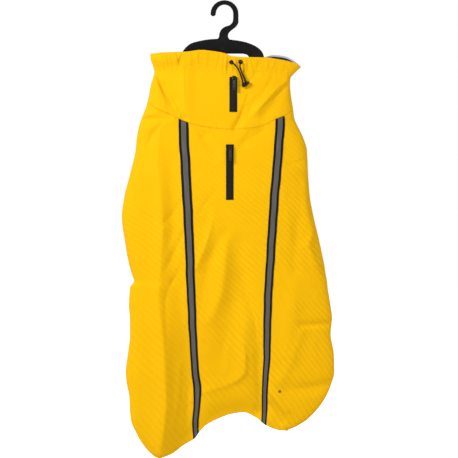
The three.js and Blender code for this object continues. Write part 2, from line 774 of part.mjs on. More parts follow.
for (const zip of zips) {
  const face = zip.on === "collar" ? collarFace : backFace;
  const column = zip.on === "collar" ? [zipColumn, zipColumn + 1] : onBack(zipColumn);
  add(`zip_${zip.on}`, laidOn(face, zip.rows, column, zipThick), trimBlack);
  const seat = new THREE.Group();
  seat.position.set(zip.x, nearY(zip.x, zip.z) - seamGap - zipThick - sliderLift, zip.z);
  seat.rotation.x = -Math.atan(leanAt(zip.x, zip.z, leanOver));
  coat.add(seat);
  add(`zip_${zip.on}_slider`, sliderGeometry(), plastic, seat);
  const pull = add(`zip_${zip.on}_pull`, pullGeometry(zip.pull), plastic, seat);
  pull.position.y = -sliderThick - bailRoomOut / 2;
}

// Drawcord: an eyelet, a cord and their shared lock
function ringShape(outer, inner) {
  const shape = new THREE.Shape();
  shape.absarc(0, 0, outer, 0, Math.PI * 2, false);
  const hole = new THREE.Path();
  hole.absarc(0, 0, inner, 0, Math.PI * 2, false);
  shape.holes.push(hole);
  return shape;
}

function cordTube(route) {
  const path = new THREE.CatmullRomCurve3(route.map((p) => new THREE.Vector3(...p)));
  const section = new THREE.Shape();
  section.absarc(0, 0, cordDiameter / 2, 0, Math.PI * 2, false);
  return new THREE.ExtrudeGeometry(section, {
    steps: Math.round(path.getLength() / (2 * cordDiameter)),
    curveSegments: cordSides / 2,
    extrudePath: path,
    bevelEnabled: false,
  });
}

for (const cord of cords) {
  const { x, z } = cord.eyelet;
  const disc = plate(ringShape(eyelet.outer, eyelet.hole), -eyelet.thick, 0);
  const ringPiece = add(`eyelet_${cord.side}`, disc, plastic);
  ringPiece.position.set(x, nearY(x, z) - eyelet.lift, z);
  ringPiece.rotation.x = -Math.atan(leanAt(x, z, leanOver / 2));
  add(`cord_${cord.side}`, cordTube(cord.route), trimBlack);
}
const lockShape = roundedRect(lock.long, lock.thick, lock.thick / 2, lock.thick / 2);
const lockPiece = add("cord_lock", plate(lockShape, -lock.deep, 0), plastic);
lockPiece.position.set(lock.x, lock.y, lock.z);
lockPiece.rotation.y = -THREE.MathUtils.degToRad(lock.tilt);

// Hanger: one flat moulding, whose arms bear on the side folds of the collar from inside
function hangerShape() {
  const arc = (x, wide, tall, from, to, clockwise) =>
    new THREE.EllipseCurve(x, hook.level, wide, tall, from, to, clockwise).getPoints(hookSteps);
  const through = (points) =>
    new THREE.SplineCurve(points.map(([x, z]) => new THREE.Vector2(x, z))).getPoints(2 * points.length);
  const { inner, outer } = hook;
  const endRight = [armReach("right"), armTouch.right];
  const endLeft = [armReach("left"), armTouch.left];
  return new THREE.Shape([
    ...arc(0, outer, hook.top - hook.level, Math.PI, 0, true),
    ...through(stem),
    ...through([...barRight, ...armRight, endRight, ...underRight]),
    ...through([...underLeft, endLeft, ...armLeft, ...barLeft]),
    ...through(neck),
    ...arc(0, inner, -hook.level, 0, Math.PI, false),
    ...arc(-(inner + outer) / 2, (outer - inner) / 2, hook.tip, 0, Math.PI, true).slice(1, -1),
  ]);
}
add("hanger", plate(hangerShape(), -hangerThick / 2, hangerThick / 2), plastic);

export default coat;
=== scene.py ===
# Dog raincoat on its hanger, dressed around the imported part.
# +Z is up and the coat's back, with its tapes and zips, faces -Y. Tables of the cloth's form are in millimetres.
import math

import bmesh
import bpy
import numpy as np
from mathutils import Matrix, Vector


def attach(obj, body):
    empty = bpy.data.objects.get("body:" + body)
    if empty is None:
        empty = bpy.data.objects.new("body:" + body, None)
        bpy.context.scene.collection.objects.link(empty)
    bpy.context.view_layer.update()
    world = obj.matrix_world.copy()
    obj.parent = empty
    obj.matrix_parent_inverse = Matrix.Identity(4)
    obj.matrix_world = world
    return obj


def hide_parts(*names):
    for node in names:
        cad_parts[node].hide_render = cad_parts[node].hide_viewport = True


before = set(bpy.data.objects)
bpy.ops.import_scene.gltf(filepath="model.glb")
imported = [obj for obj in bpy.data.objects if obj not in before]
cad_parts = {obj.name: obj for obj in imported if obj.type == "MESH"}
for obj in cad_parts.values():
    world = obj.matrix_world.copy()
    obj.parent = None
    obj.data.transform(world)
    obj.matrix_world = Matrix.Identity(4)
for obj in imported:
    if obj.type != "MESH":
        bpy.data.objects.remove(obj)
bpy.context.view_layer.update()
scene = bpy.context.scene
mm = 0.001
body = "coat"


# camera, floor and light

camera = {
    "centre": (0.00945, -0.4710),  # x and height that the frame is centred on
    "distance": 5.0,  # from the plane of the coat's side folds
    "frame": 0.9618,  # what the frame takes in at that plane
    "sensor": 36.0,
}

studio = {
    "floorHeight": -1.10,
    "floorSize": 40.0,
    "floorColour": 0.6,
    "floorSeen": 0.93,  # how bright the floor looks, and how brightly it lights the coat
    "floorGlow": 0.05,
    "seenWhite": 1.0,
    "roomLight": 0.27,
    # where each soft light stands, how wide it is and its power
    "lights": {
        "key": ((-1.78, -1.4, 0.92), 0.7, 56),
        "fill": ((1.75, -1.85, -0.1), 1.6, 24),
        "back": ((0.6, 3.2, 0.8), 2.6, 40),
    },
}


def makeCamera():
    data = bpy.data.cameras.new("camera")
    data.sensor_width = camera["sensor"]
    data.lens = camera["sensor"] * camera["distance"] / camera["frame"]
    data.clip_end = 100
    made = bpy.data.objects.new("camera", data)
    scene.collection.objects.link(made)
    x, z = camera["centre"]
    made.location = (x, -camera["distance"], z)
    made.rotation_euler = (math.radians(90), 0, 0)
    scene.camera = made


makeCamera()
print("stage: camera")


# shader maths

class Value:
    # one socket of a material's nodes, so that an expression on values adds its Math nodes
    def __init__(self, finish, socket):
        self.finish = finish
        self.socket = socket

    def math(self, operation, *values):
        return self.finish.node("ShaderNodeMath", {"operation": operation}, dict(enumerate(values)))

    def __add__(self, other):
        return self.math("ADD", self, other)

    def __sub__(self, other):
        return self.math("SUBTRACT", self, other)

    def __rsub__(self, other):
        return self.math("SUBTRACT", other, self)

    def __mul__(self, other):
        return self.math("MULTIPLY", self, other)

    __radd__ = __add__
    __rmul__ = __mul__

    def sine(self):
        return self.math("SINE", self)

    def size(self):
        return self.math("ABSOLUTE", self)

    def between(self, low, high):
        # 0 at low and 1 at high, eased
        settings = {"interpolation_type": "SMOOTHSTEP"}
        return self.finish.node("ShaderNodeMapRange", settings, {"Value": self, "From Min": low, "From Max": high})


class Nodes:
    # a node tree and the one method that adds its nodes
    def __init__(self, tree):
        self.tree = tree

    def node(self, kind, settings=None, sockets=None, out=0):
        made = self.tree.nodes.new(kind)
        for key, value in (settings or {}).items():
            setattr(made, key, value)
        for key, value in (sockets or {}).items():
            if isinstance(value, Value):
                self.tree.links.new(value.socket, made.inputs[key])
            else:
                made.inputs[key].default_value = value
        return Value(self, made.outputs[out])


class Finish(Nodes):
    # a material
    def __init__(self, name, **constants):
        self.material = bpy.data.materials.new(name)
        self.material.use_nodes = True
        super().__init__(self.material.node_tree)
        self.shader = self.tree.nodes["Principled BSDF"]
        for key, value in constants.items():
            self.put(key, value)

    def put(self, key, value):
        socket = self.shader.inputs[key.replace("_", " ")]
        if isinstance(value, Value):
            self.tree.links.new(value.socket, socket)
        else:
            socket.default_value = (*value, 1) if isinstance(value, tuple) else value

    def places(self, which="Object"):
        # a point's x, y and z on the object, or across and along the cloth
        if which == "Object":
            point = self.node("ShaderNodeTexCoord", out=3)
        else:
            point = self.node("ShaderNodeUVMap", {"uv_map": which})
        split = self.node("ShaderNodeSeparateXYZ", sockets={0: point})
        return point, [Value(self, split.socket.node.outputs[i]) for i in range(3)]

    def noise(self, point, scale, detail=2.0, rough=0.5):
        return self.node("ShaderNodeTexNoise", sockets={
            "Vector": point, "Scale": scale, "Detail": detail, "Roughness": rough})

    def mixed(self, share, first, second):
        colours = [c if isinstance(c, Value) else (*c, 1) for c in (first, second)]
        return self.node("ShaderNodeMix", {"data_type": "RGBA"}, {0: share, 6: colours[0], 7: colours[1]}, out=2)

    def bump(self, height, strength, distance):
        self.put("Normal", self.node("ShaderNodeBump", sockets={
            "Height": height, "Strength": strength, "Distance": distance}))


def makeStage():
    bm = bmesh.new()
    bmesh.ops.create_grid(bm, x_segments=4, y_segments=4, size=studio["floorSize"] / 2)
    bmesh.ops.translate(bm, verts=bm.verts, vec=(0, 0, studio["floorHeight"]))
    mesh = bpy.data.meshes.new("floor")
    bm.to_mesh(mesh)
    bm.free()
    floor = bpy.data.objects.new("floor", mesh)
    scene.collection.objects.link(floor)
    colour, glow, bright = ((studio[key],) * 3 for key in ("floorColour", "floorGlow", "floorSeen"))
    white = Finish("floorWhite", Base_Color=colour, Roughness=0.9, Emission_Strength=1.0)
    white.put("Emission_Color", white.mixed(white.node("ShaderNodeLightPath"), glow, bright))
    mesh.materials.append(white.material)
    world = bpy.data.worlds.new("room")
    scene.world = world
    world.use_nodes = True
    room = Nodes(world.node_tree)
    lit, seen = (
        room.node("ShaderNodeBackground", sockets={"Color": (1, 1, 1, 1), "Strength": studio[key]})
        for key in ("roomLight", "seenWhite")
    )
    rays = room.node("ShaderNodeLightPath")
    pick = room.node("ShaderNodeMixShader", sockets={0: rays, 1: lit, 2: seen})
    room.tree.links.new(pick.socket, room.tree.nodes["World Output"].inputs[0])
    aim = Vector((camera["centre"][0], 0, camera["centre"][1]))
    for name, (place, size, power) in studio["lights"].items():
        light = bpy.data.lights.new(name, "AREA")
        light.size = size
        light.energy = power
        made = bpy.data.objects.new(name, light)
        scene.collection.objects.link(made)
        made.location = place
        made.rotation_euler = (aim - made.location).to_track_quat("-Z", "Y").to_euler()
    scene.view_settings.view_transform = "Standard"


makeStage()
print("stage: floor and light")


# the cloth's form

class Table:
    # rows under named columns; each column is a smooth curve of the first one, with no overshoot
    def __init__(self, columns, rows):
        data = np.array(sorted(rows), float)
        self.keys = data[:, 0]
        self.columns = {name: self.slopes(values) for name, values in zip(columns.split()[1:], data[:, 1:].T)}

    def slopes(self, values):
        rise = np.diff(values) / np.diff(self.keys)
        slope = np.concatenate([rise[:1], np.zeros(len(rise) - 1), rise[-1:]])
        before, after = rise[:-1], rise[1:]
        same = before * after > 0
        slope[1:-1][same] = 2 * before[same] * after[same] / (before[same] + after[same])
        return values, slope

    def at(self, column, where):
        values, slope = self.columns[column]
        where = np.clip(where, self.keys[0], self.keys[-1])
        i = np.clip(np.searchsorted(self.keys, where) - 1, 0, len(self.keys) - 2)
        step = self.keys[i + 1] - self.keys[i]
        u = (where - self.keys[i]) / step
        return (values[i] * (1 + 2 * u) * (1 - u) ** 2 + slope[i] * step * u * (1 - u) ** 2
                + values[i + 1] * u * u * (3 - 2 * u) + slope[i + 1] * step * u * u * (u - 1))


outline = Table("z left right", [
    (-102, -156, 161), (-116, -154.5, 161), (-129, -150, 160.5), (-141, -147.5, 150),
    (-155, -150.5, 138.5), (-168, -154.5, 137.5), (-191, -158.5, 139.5), (-216, -165, 143.5),
    (-240, -174.5, 147), (-254, -179, 153), (-279, -184, 165), (-305, -186.5, 173),
    (-355, -198, 175.5), (-405, -210.5, 179.5), (-445, -215.5, 187), (-494, -209.5, 198.5),
    (-544, -200.5, 209), (-569, -193, 213), (-580, -189.5, 215), (-594, -198, 216.5),
    (-632, -200.5, 222.5), (-657, -198.5, 225.5), (-690, -198, 222.5), (-733, -202.5, 229),
    (-771, -207, 230), (-796, -204.5, 223.5), (-821, -199.5, 213), (-846, -198.5, 196.5),
    (-872, -196, 171), (-884, -192, 151), (-893, -187.5, 132), (-909, -179.5, 132),
    (-922, -171, 132), (-935, -160.5, 132), (-947, -146, 132), (-951, -136.5, 132),
])
fullness = Table("z middle near far", [
    (-102, 0, 20, 23), (-135, 0, 17, 18), (-165, 0, 21, 21), (-225, 0, 25, 23), (-330, 0, 29, 27),
    (-450, 0, 31, 29), (-580, -2, 28, 26), (-700, -7, 22, 20), (-820, -11, 16, 16), (-951, -12, 12, 12),
])
rimNear = Table("x z", [
    (-156, -103.5), (-125, -101), (-80, -99.8), (-50, -96.3), (-20, -99.3), (0, -103),
    (15, -109), (45, -111.2), (85, -112), (122, -117), (146, -122.5), (160.5, -130),
])
rimFar = Table("x z", [
    (-156, -103.5), (-120, -105), (-60, -107), (0, -111), (50, -112), (85, -109),
    (104, -104.5), (126, -107), (146, -116.5), (160.5, -130),
])
seamNear = Table("x z", [
    (-162, -206), (-135, -222.5), (-114, -231.5), (-95, -240.5), (-74, -249), (-41, -257.5),
    (13, -262.5), (64, -259), (84, -253.5), (106, -241.5), (127, -233), (143, -222),
])
seamFar = Table("x z", [(-162, -206), (-100, -216), (0, -224), (90, -224), (143, -222)])
hem = Table("x z", [
    (-136.5, -951), (-111, -942.3), (-85, -924), (-63, -911), (-52.5, -897), (-38, -882), (-3.5, -865),
    (14, -859), (40, -855.3), (65.5, -866), (87, -882), (114.5, -892), (132, -893.3),
])
trim = Table("z tapeL0 tapeL1 zip0 zip1 tapeR0 tapeR1", [
    (-102, -86, -67, 10.3, 26.7, 96, 114), (-151, -88, -69, 10.3, 26.7, 90, 106),
    (-224, -94, -74, 10.3, 26.7, 103, 121), (-242, -95.8, -75, 6.2, 22.4, 106.5, 126.5),
    (-271, -95.5, -74.6, 3.4, 19.6, 105.5, 125), (-347, -91.4, -70.6, 3.2, 19.2, 99.6, 119),
    (-422, -87.2, -66.8, 3.2, 19, 93.6, 112.6), (-498, -83, -63.6, 3.2, 19, 89, 107.6),
    (-573, -80.2, -61.6, 3.2, 19, 84.6, 102.4), (-649, -76.6, -59, 3.2, 19, 81.4, 98.4),
    (-725, -72.4, -56, 3.2, 19, 81.4, 96.4), (-762, -70, -53.6, 3.4, 19, 80.8, 94.4),
    (-806, -65.6, -48.6, 6, 21, 78.6, 91), (-838, -64.8, -50.4, 10, 25, 78, 90),
    (-876, -67.6, -54, 14, 29, 77.6, 88.6), (-912, -66, -54, 16, 31, 77, 87.6),
])
wrap = Table("z left right", [
    (-200, 0.07, 0.07), (-590, 0.07, 0.07), (-640, 0.09, 0.1), (-951, 0.05, 0.05),
])
chestEdge = Table("z share", [
    (-200, 0.7), (-282, 0.7), (-300, 0.6), (-335, 0.44), (-420, 0.37), (-500, 0.36),
])

# main folds of the near layer, each down a path of x, z, width and height, plus for a ridge
mainFolds = {
    "collar, left sweep": [(-146, -143, 11, -5), (-110, -206, 11, -4)],
    "collar, sweep to the tape": [(-124, -172, 12, -3), (-87, -240, 12, -5)],
    "collar, ridge over the tape": [(-78, -128, 13, 2), (-80, -232, 13, 3)],
    "collar, right ridge": [(136, -160, 12, 3), (70, -222, 12, 4)],
    "collar, right sweep": [(122, -174, 13, -5), (80, -238, 13, -2)],
    "collar, below the zip": [(56, -214, 9, -3), (24, -258, 9, -4)],
    "left end of the seam": [(-168, -242, 9, -6), (-118, -236, 9, -3)],
    "left shoulder": [(-165, -262, 15, 4), (-130, -250, 15, 2)],
    "left of the zip": [(-40, -278, 10, -3), (-20, -306, 10, -2)],
    "right of the zip": [(38, -296, 11, -2), (80, -262, 11, -3)],
    "right shoulder": [(128, -316, 14, -4), (174, -358, 14, -5)],
    "long ridge of the left lobe": [
        (-140, -300, 15, 2.5), (-131, -400, 15, 4), (-129, -470, 15, 5), (-134, -560, 15, 4),
        (-138, -620, 16, 5), (-129, -703, 17, 7), (-124, -798, 17, 8), (-123, -850, 17, 8), (-136, -949, 17, 6),
    ],
    "hollow beside the long ridge": [
        (-112, -330, 14, -1.5), (-106, -430, 16, -3.5), (-108, -520, 16, -4), (-94, -600, 21, -6),
        (-76, -700, 26, -9), (-71, -800, 28, -10), (-74, -880, 28, -10), (-88, -935, 26, -9),
    ],
    "ridge below the back zip": [
        (-14, -452, 12, 1.5), (1, -520, 13, 3.5), (-1, -560, 14, 4.5), (-8, -611, 14, 4.5), (-26, -655, 14, 2.5),
    ],
    "hollow below the back zip": [
        (30, -505, 17, -3), (33, -560, 21, -5), (26, -620, 23, -5.5), (8, -690, 23, -4.5), (-8, -740, 18, -2),
    ],
    "ridge towards the left tape": [(-26, -451, 9, 1), (-39, -506, 10, 3), (-58, -548, 10, 2)],
    "hollow towards the left tape": [
        (-5, -484, 12, -3), (-30, -540, 13, -4), (-44, -600, 14, -3.5), (-50, -680, 14, -2),
    ],
    "hollow beside the right tape": [
        (37, -575, 10, -1.5), (47, -610, 11, -3), (64, -666, 12, -4), (74, -724, 16, -7.5), (78, -850, 18, -9.5),
    ],
    "ridge across the middle of the hem": [
        (-60, -832, 13, 0.5), (-30, -812, 13, 0.5), (14, -796, 13, 1), (38, -780, 13, 1.5), (39, -735, 12, 2.5),
        (36, -690, 12, 1.5),
    ],
    "middle of the back, falling in": [(-10, -670, 100, -1), (-10, -800, 100, -12), (0, -900, 110, -14)],
    "middle of the hem, curled in": [
        (-112, -962, 26, -8), (-85, -940, 28, -9), (-50, -905, 28, -11), (-10, -872, 30, -12), (40, -862, 30, -12),
        (90, -890, 26, -8),
    ],
    "ridge along the right side": [
        (171, -384, 10, 2), (174, -441, 10, 3.5), (186, -477, 10, 3.5), (176, -508, 11, 4),
        (194, -548, 11, 3.5), (214, -580, 10, 2),
    ],
    "hollow at the right side": [(200, -508, 12, -4), (213, -560, 12, -4)],
    "hollow right of the right tape": [(154, -451, 11, -2.5), (146, -514, 11, -3), (150, -556, 11, -2)],
    "swell right of the right tape": [(150, -590, 18, 2), (141, -660, 20, 4), (130, -730, 18, 3)],
    "nip at the right side": [(163, -672, 8, -3), (221, -670, 8, -5)],
    "ridge of the right lobe": [(163, -684, 11, 1.5), (137, -754, 12, 2), (112, -792, 12, 1.5)],
    "hollow of the right lobe": [(137, -808, 14, -3), (184, -806, 14, -5), (226, -796, 14, -5)],
    "ridge at the right tape's end": [(92, -808, 8, 2.5), (129, -850, 8, 2.5)],
    "hollow at the right tape's end": [(96, -840, 10, -4), (120, -872, 10, -4)],
}

# finer creases: how crisp each is from 0 to 1, and its path of x, z, widths to the left and right of the way
# down it, and height
creases = {
    # collar
    "collar 1": (0.8, [
        (-151, -137, 11, 2.4, 3.0), (-142, -160, 11, 2.4, 7.0), (-134, -180, 11, 2.8, 6.0),
        (-124, -207, 12, 5, 1.8),
    ]),
    "collar 2": (0.8, [(-121, -176, 11, 4, 1.0), (-108, -204, 11, 3.2, 2.6), (-93, -232, 10, 3.2, 3.0)]),
    "collar 3": (0.7, [(-163, -202, 3.4, 4.6, -0.5), (-102, -229, 3.4, 4.6, -1.1)]),
    "collar 4": (0.7, [(-171, -220, 3.4, 4.2, -0.6), (-98, -234, 3.4, 4.2, -1.0)]),
    "collar 5": (0.9, [(-170, -234, 2.4, 8, 6.0), (-146, -234, 2.4, 8, 4.0), (-122, -237, 2.6, 7, 1.6)]),
    "collar 6": (1.0, [
        (-86, -126, 9, 4, 1.0), (-86, -160, 9, 4, 1.9), (-85, -190, 9, 4, 1.2), (-84, -225, 9, 4, 0.3),
    ]),
    "collar 7": (1.0, [
        (139, -154, 9.5, 4, 3.0), (106, -183, 9.5, 4.5, 3.4), (79, -212, 8, 5, 2.4), (60, -231, 6, 5, 1.0),
    ]),
    "collar 13": (0.7, [(66, -146, 4, 5, -0.8), (51, -163, 4, 5, -1.4)]),
    "collar 14": (0.6, [(104, -148, 5, 6, -0.8), (84, -181, 5, 6, -1.4), (66, -206, 5, 6, -0.6)]),
    "collar 8": (0.7, [(136, -168, 6, 5, -3.2), (118, -182, 6, 5, -2.8), (79, -218, 4.6, 4.2, -1.0)]),
    "collar 9": (0.8, [(49, -193, 3.8, 4.6, -1.2), (33, -235, 3.8, 4.6, -1.8), (23, -258, 3.8, 4.6, -1.4)]),
    "collar 10": (0.5, [(60, -195, 4.2, 4.2, 0.7), (41, -239, 4.2, 4.2, 1.1)]),
    "collar 11": (0.5, [(72, -193, 3.4, 3.4, -0.4), (45, -214, 3.4, 3.4, -0.8)]),
    "collar 12": (0.5, [(-60, -141, 4.2, 6.3, -0.7), (-68, -166, 4.2, 6.3, -0.3)]),
    # below the collar seam
    "shoulder 1": (0.7, [
        (-127, -245, 5.0, 6.3, -1.6), (-149, -269, 5.0, 6.3, -3.2), (-162, -298, 5.0, 6.3, -1.2),
    ]),
    "shoulder 2": (0.6, [(-91, -249, 4.2, 4.2, -0.9), (-140, -258, 4.2, 4.2, -0.4)]),
    "shoulder 3": (0.6, [(-58, -265, 3.8, 3.8, -0.7), (-41, -296, 3.8, 3.8, -0.2)]),
    "shoulder 4": (0.8, [(-51, -268, 4.2, 4.6, -1.2), (-34, -302, 4.2, 4.6, -1.4), (-6, -321, 4.2, 4.6, -0.6)]),
    "shoulder 5": (0.6, [(-24, -266, 3.4, 3.4, -0.8), (-10, -290, 3.4, 3.4, -0.2)]),
    "shoulder 6": (0.7, [(-4, -327, 4.2, 4.6, 0.8), (-63, -374, 5.2, 5.6, 0.5)]),
    "shoulder 7": (0.6, [(54, -267, 3.8, 4.2, -1.3), (34, -296, 3.8, 4.2, -0.4)]),
    "shoulder 8": (0.6, [(81, -265, 3.8, 4.2, -1.3), (41, -292, 3.8, 4.2, -0.4)]),
    "shoulder 9": (0.6, [(24, -266, 3.2, 3.2, -0.7), (19, -288, 3.2, 3.2, -0.2)]),
    "shoulder 10": (0.6, [(135, -244, 5.2, 7.4, -1.2), (170, -304, 5.2, 7.4, -1.6)]),
    "shoulder 11": (0.5, [(150, -239, 4.2, 4.2, 0.8), (177, -288, 4.2, 4.2, 0.6)]),
    "shoulder 12": (0.9, [(131, -338, 4.6, 3.2, -1.0), (176, -324, 4.6, 3.2, -2.4)]),
    "shoulder 13": (0.9, [
        (135, -348, 5.0, 3.4, -1.0), (158, -372, 5.0, 3.4, -1.8), (176, -402, 5.0, 3.4, -1.6),
    ]),
    "shoulder 14": (0.6, [(140, -350, 3.4, 3.4, 0.4), (177, -353, 3.4, 3.4, 1.4)]),
    "shoulder 15": (0.7, [(159, -302, 2.9, 3.4, -0.5), (176, -318, 2.9, 3.4, -1.2)]),
    # left of the back
    "left 1": (0.8, [
        (-134, -260, 4, 5, 0.6), (-140, -335, 5, 6, 1.2), (-134, -400, 9, 7, 1.6), (-129, -470, 9, 7, 1.8),
        (-134, -560, 9, 7, 1.6), (-137, -600, 9, 7, 1.6),
    ]),
    "left 2": (0.8, [(-91, -412, 4.6, 7, -0.6), (-112, -443, 4.6, 8, -1.8), (-129, -460, 4.6, 7, -1.4)]),
    "left 3": (0.6, [(-82, -452, 4.6, 5.5, 0.8), (-104, -494, 4.6, 5.5, 1.2), (-122, -530, 4.6, 5.5, 0.9)]),
    "left 4": (0.7, [(-84, -476, 4.6, 5.5, -1.2), (-104, -520, 4.6, 5.5, -1.8), (-126, -560, 4.6, 5.5, -1.2)]),
    "left 5": (0.6, [(-86, -520, 4.2, 5.5, 0.6), (-106, -569, 4.2, 5.5, 0.9)]),
    "left 6": (0.7, [(-92, -548, 4.2, 5.5, -0.8), (-110, -583, 4.2, 5.5, -2.0)]),
    "left 7": (0.4, [(-158, -300, 6.3, 7.3, -0.9), (-172, -345, 6.3, 7.3, -1.2)]),
    "left 8": (0.4, [(-192, -441, 6.3, 6.3, -0.5), (-180, -552, 6.3, 6.3, -1.0)]),
    "left 9": (0.5, [(-166, -440, 6.3, 6.3, -0.9), (-156, -560, 5.3, 5.3, -1.2)]),
    # left lobe
    "lobe 1": (1.0, [
        (-104, -572, 6, 8, -0.8), (-118, -596, 6, 8, -1.8), (-124, -622, 6, 6, -2.6),
        (-122, -680, 5, 5, -1.8), (-118, -720, 5, 5, -0.6),
    ]),
    "lobe 2": (1.0, [
        (-138, -600, 10, 8, 1.4), (-138, -626, 12, 9, 2.4), (-133, -666, 16, 11, 3.8),
        (-129, -703, 17, 12, 4.2), (-124, -779, 17, 12, 4.4), (-123, -846, 17, 12, 4.6),
        (-129, -905, 16, 11, 4.4), (-136, -949, 15, 9, 3.6),
    ]),
    "lobe 3": (0.4, [(-190, -584, 6.3, 6.3, 0.9), (-177, -704, 6.3, 6.3, 0.9)]),
    "lobe 4": (0.4, [(-175, -714, 6.3, 8.4, 0.7), (-184, -872, 6.3, 8.4, 1.0)]),
    "lobe 5": (1.0, [(-191, -640, 2.1, 4.0, -1.0), (-193, -765, 2.1, 4.0, -1.0)]),
    "lobe 6": (0.9, [(-192, -812, 3.2, 4.6, -0.6), (-172, -838, 3.2, 5.6, -1.4), (-158, -852, 3.2, 5.6, -0.4)]),
    "lobe 7": (0.5, [(-92, -752, 6.3, 5.3, 1.2), (-98, -836, 6.3, 5.3, 1.6), (-108, -890, 6.3, 5.3, 0.9)]),
    "lobe 8": (0.5, [(-76, -810, 6.3, 5.3, -1.0), (-80, -880, 6.3, 5.3, -1.4)]),
    # middle of the back
    "middle 1": (0.6, [
        (13, -474, 9, 10, 0.6), (3, -520, 12, 12, 1.3), (0, -560, 12, 12, 1.5), (-6, -600, 12, 12, 1.4),
        (-17, -637, 11, 11, 1.0), (-34, -668, 9, 9, 0.5),
    ]),
    "middle 2": (0.8, [
        (-20, -430, 5, 5, 0.6), (-32, -482, 8, 5, 1.6), (-46, -522, 8, 5, 1.8), (-58, -552, 6, 5, 0.8),
    ]),
    "middle 3": (0.7, [
        (29, -560, 5, 5, -0.7), (46, -604, 5, 6, -1.9), (64, -660, 5, 6, -2.0), (68, -700, 5, 6, -0.8),
    ]),
    "middle 4": (0.6, [(-18, -390, 5, 5, -0.6), (-36, -412, 5, 5, -1.4), (-52, -440, 5, 5, -0.8)]),
    "middle 5": (0.8, [
        (-62, -828, 4.6, 24, 1.2), (-48, -816, 4.6, 24, 1.8), (-24, -808, 4.6, 24, 2.0),
        (8, -798, 4.6, 24, 2.4), (30, -786, 4.6, 22, 3.2), (43, -772, 5, 16, 3.8), (44, -735, 5, 10, 3.4),
        (36, -704, 6, 8, 1.0),
    ]),
    "middle 6": (0.4, [(-39, -620, 6.3, 6.3, 0.8), (-51, -729, 6.3, 6.3, 0.6)]),
    "middle 7": (0.4, [(14, -682, 7.1, 6.3, 1.0), (3, -771, 7.1, 6.3, 1.0)]),
    "middle 8": (0.5, [(-66, -700, 5, 6, -0.8), (-40, -712, 5, 6, -0.8)]),
    "middle 9": (0.4, [(58, -729, 5.5, 6.3, 0.9), (66, -834, 5.5, 6.3, 0.7)]),
    # right of the back
    "right 1": (0.8, [
        (168, -366, 8, 4, 1.0), (173, -430, 9, 4, 1.8), (187, -476, 9, 4, 2.0), (176, -506, 9, 4, 2.4),
        (194, -548, 9, 5, 2.0), (216, -584, 8, 5, 1.0),
    ]),
    "right 2": (1.0, [(161, -673, 5.0, 2.9, -1.0), (190, -671, 5.0, 2.9, -1.6), (224, -668, 5.0, 2.9, -2.4)]),
    "right 3": (0.6, [(165, -682, 5.0, 4.2, 0.4), (217, -680, 5.0, 4.2, 1.3)]),
    "right 4": (0.8, [(163, -684, 7, 6, 0.6), (146, -735, 8, 7, 1.1), (124, -785, 8, 8, 0.8)]),
    "right 5": (0.7, [(186, -575, 4.2, 4.2, -0.5), (204, -611, 4.2, 4.2, -1.2)]),
    "right 6": (0.9, [(92, -806, 3.4, 6.0, 1.0), (110, -828, 3.4, 6.0, 1.8), (134, -852, 3.8, 6.2, 1.2)]),
    "right 7": (0.7, [(110, -440, 3.4, 5, 0.4), (150, -520, 3.4, 5, 0.9), (186, -572, 3.4, 5, 0.6)]),
    "right 8": (0.7, [(104, -472, 3.4, 5, -0.4), (138, -540, 3.4, 5, -1.0), (164, -590, 3.4, 5, -0.6)]),
    "right 9": (0.6, [(100, -500, 3.4, 5, 0.4), (128, -560, 3.4, 5, 0.9), (150, -620, 3.4, 5, 0.6)]),
    "right 10": (0.6, [(104, -590, 3.4, 5, -0.6), (136, -640, 3.4, 5, -1.2), (158, -672, 3.4, 5, -0.9)]),
    "right 11": (0.6, [(120, -588, 3.4, 5, 0.5), (152, -640, 3.4, 5, 0.9)]),
    "right 12": (0.8, [(154, -803, 5, 6, -0.7), (190, -800, 5, 6, -1.4), (224, -796, 5, 6, -0.8)]),
    "right 13": (0.4, [(184, -714, 8.4, 8.4, 0.8), (201, -780, 8.4, 8.4, 0.8)]),
    "right 14": (0.4, [(123, -388, 6.3, 6.3, 0.8), (144, -514, 6.3, 6.3, 0.8)]),
    "right 15": (0.7, [(196, -712, 3, 4, -0.7), (214, -716, 3, 4, -1.0)]),
}

# creases of the far layer, in the same way
farCreases = {
    "far 1": (0.5, [(-120, -130, 9, 9, -2.0), (-96, -200, 9, 9, -1.2)]),
    "far 2": (0.5, [(110, -140, 9, 9, -1.8), (88, -208, 9, 9, -1.2)]),
    "far 3": (0.3, [(-20, -150, 12, 12, 1.2), (-10, -215, 12, 12, 0.8)]),
    "far 4": (0.5, [(-90, -232, 8, 9, -1.4), (-60, -300, 8, 9, -0.5)]),
    "far 5": (0.5, [(80, -238, 8, 9, -1.4), (50, -310, 8, 9, -0.5)]),
    "far 6": (0.3, [(-10, -260, 16, 18, -1.6), (6, -470, 16, 18, -2.0)]),
    "far 7": (0.4, [(40, -330, 10, 12, 1.2), (30, -480, 10, 12, 1.0)]),
    "far 8": (0.4, [(-50, -350, 10, 12, 1.0), (-38, -485, 10, 12, 1.2)]),
    "far 9": (0.6, [(-130, -500, 9, 8, -1.6), (-60, -552, 9, 8, -0.8)]),
    "far 10": (0.6, [(140, -504, 9, 8, -1.6), (70, -548, 9, 8, -0.8)]),
    "far 11": (0.4, [(-160, -260, 10, 10, -1.4), (-168, -400, 10, 10, -1.2)]),
    "far 12": (0.4, [(150, -270, 10, 10, -1.4), (160, -410, 10, 10, -1.2)]),
}

clothForm = {
    "roundness": 3.0,  # of the flattened ring: 2 is an ellipse, more is boxier
    "wall": 1.4,
    "gap": 0.3,
    "casing": 0.2,  # where the drawcord's casing is stitched, as a share of the collar's height
    "sideGap": 0.005,
    "sideInner": 0.3,
    "columns": 172,  # across the near layer of the back and of the collar
    "collarColumns": 240,
    "sideBottom": -576,
    "strapTop": -496,
    "strapDrop": 66,
}


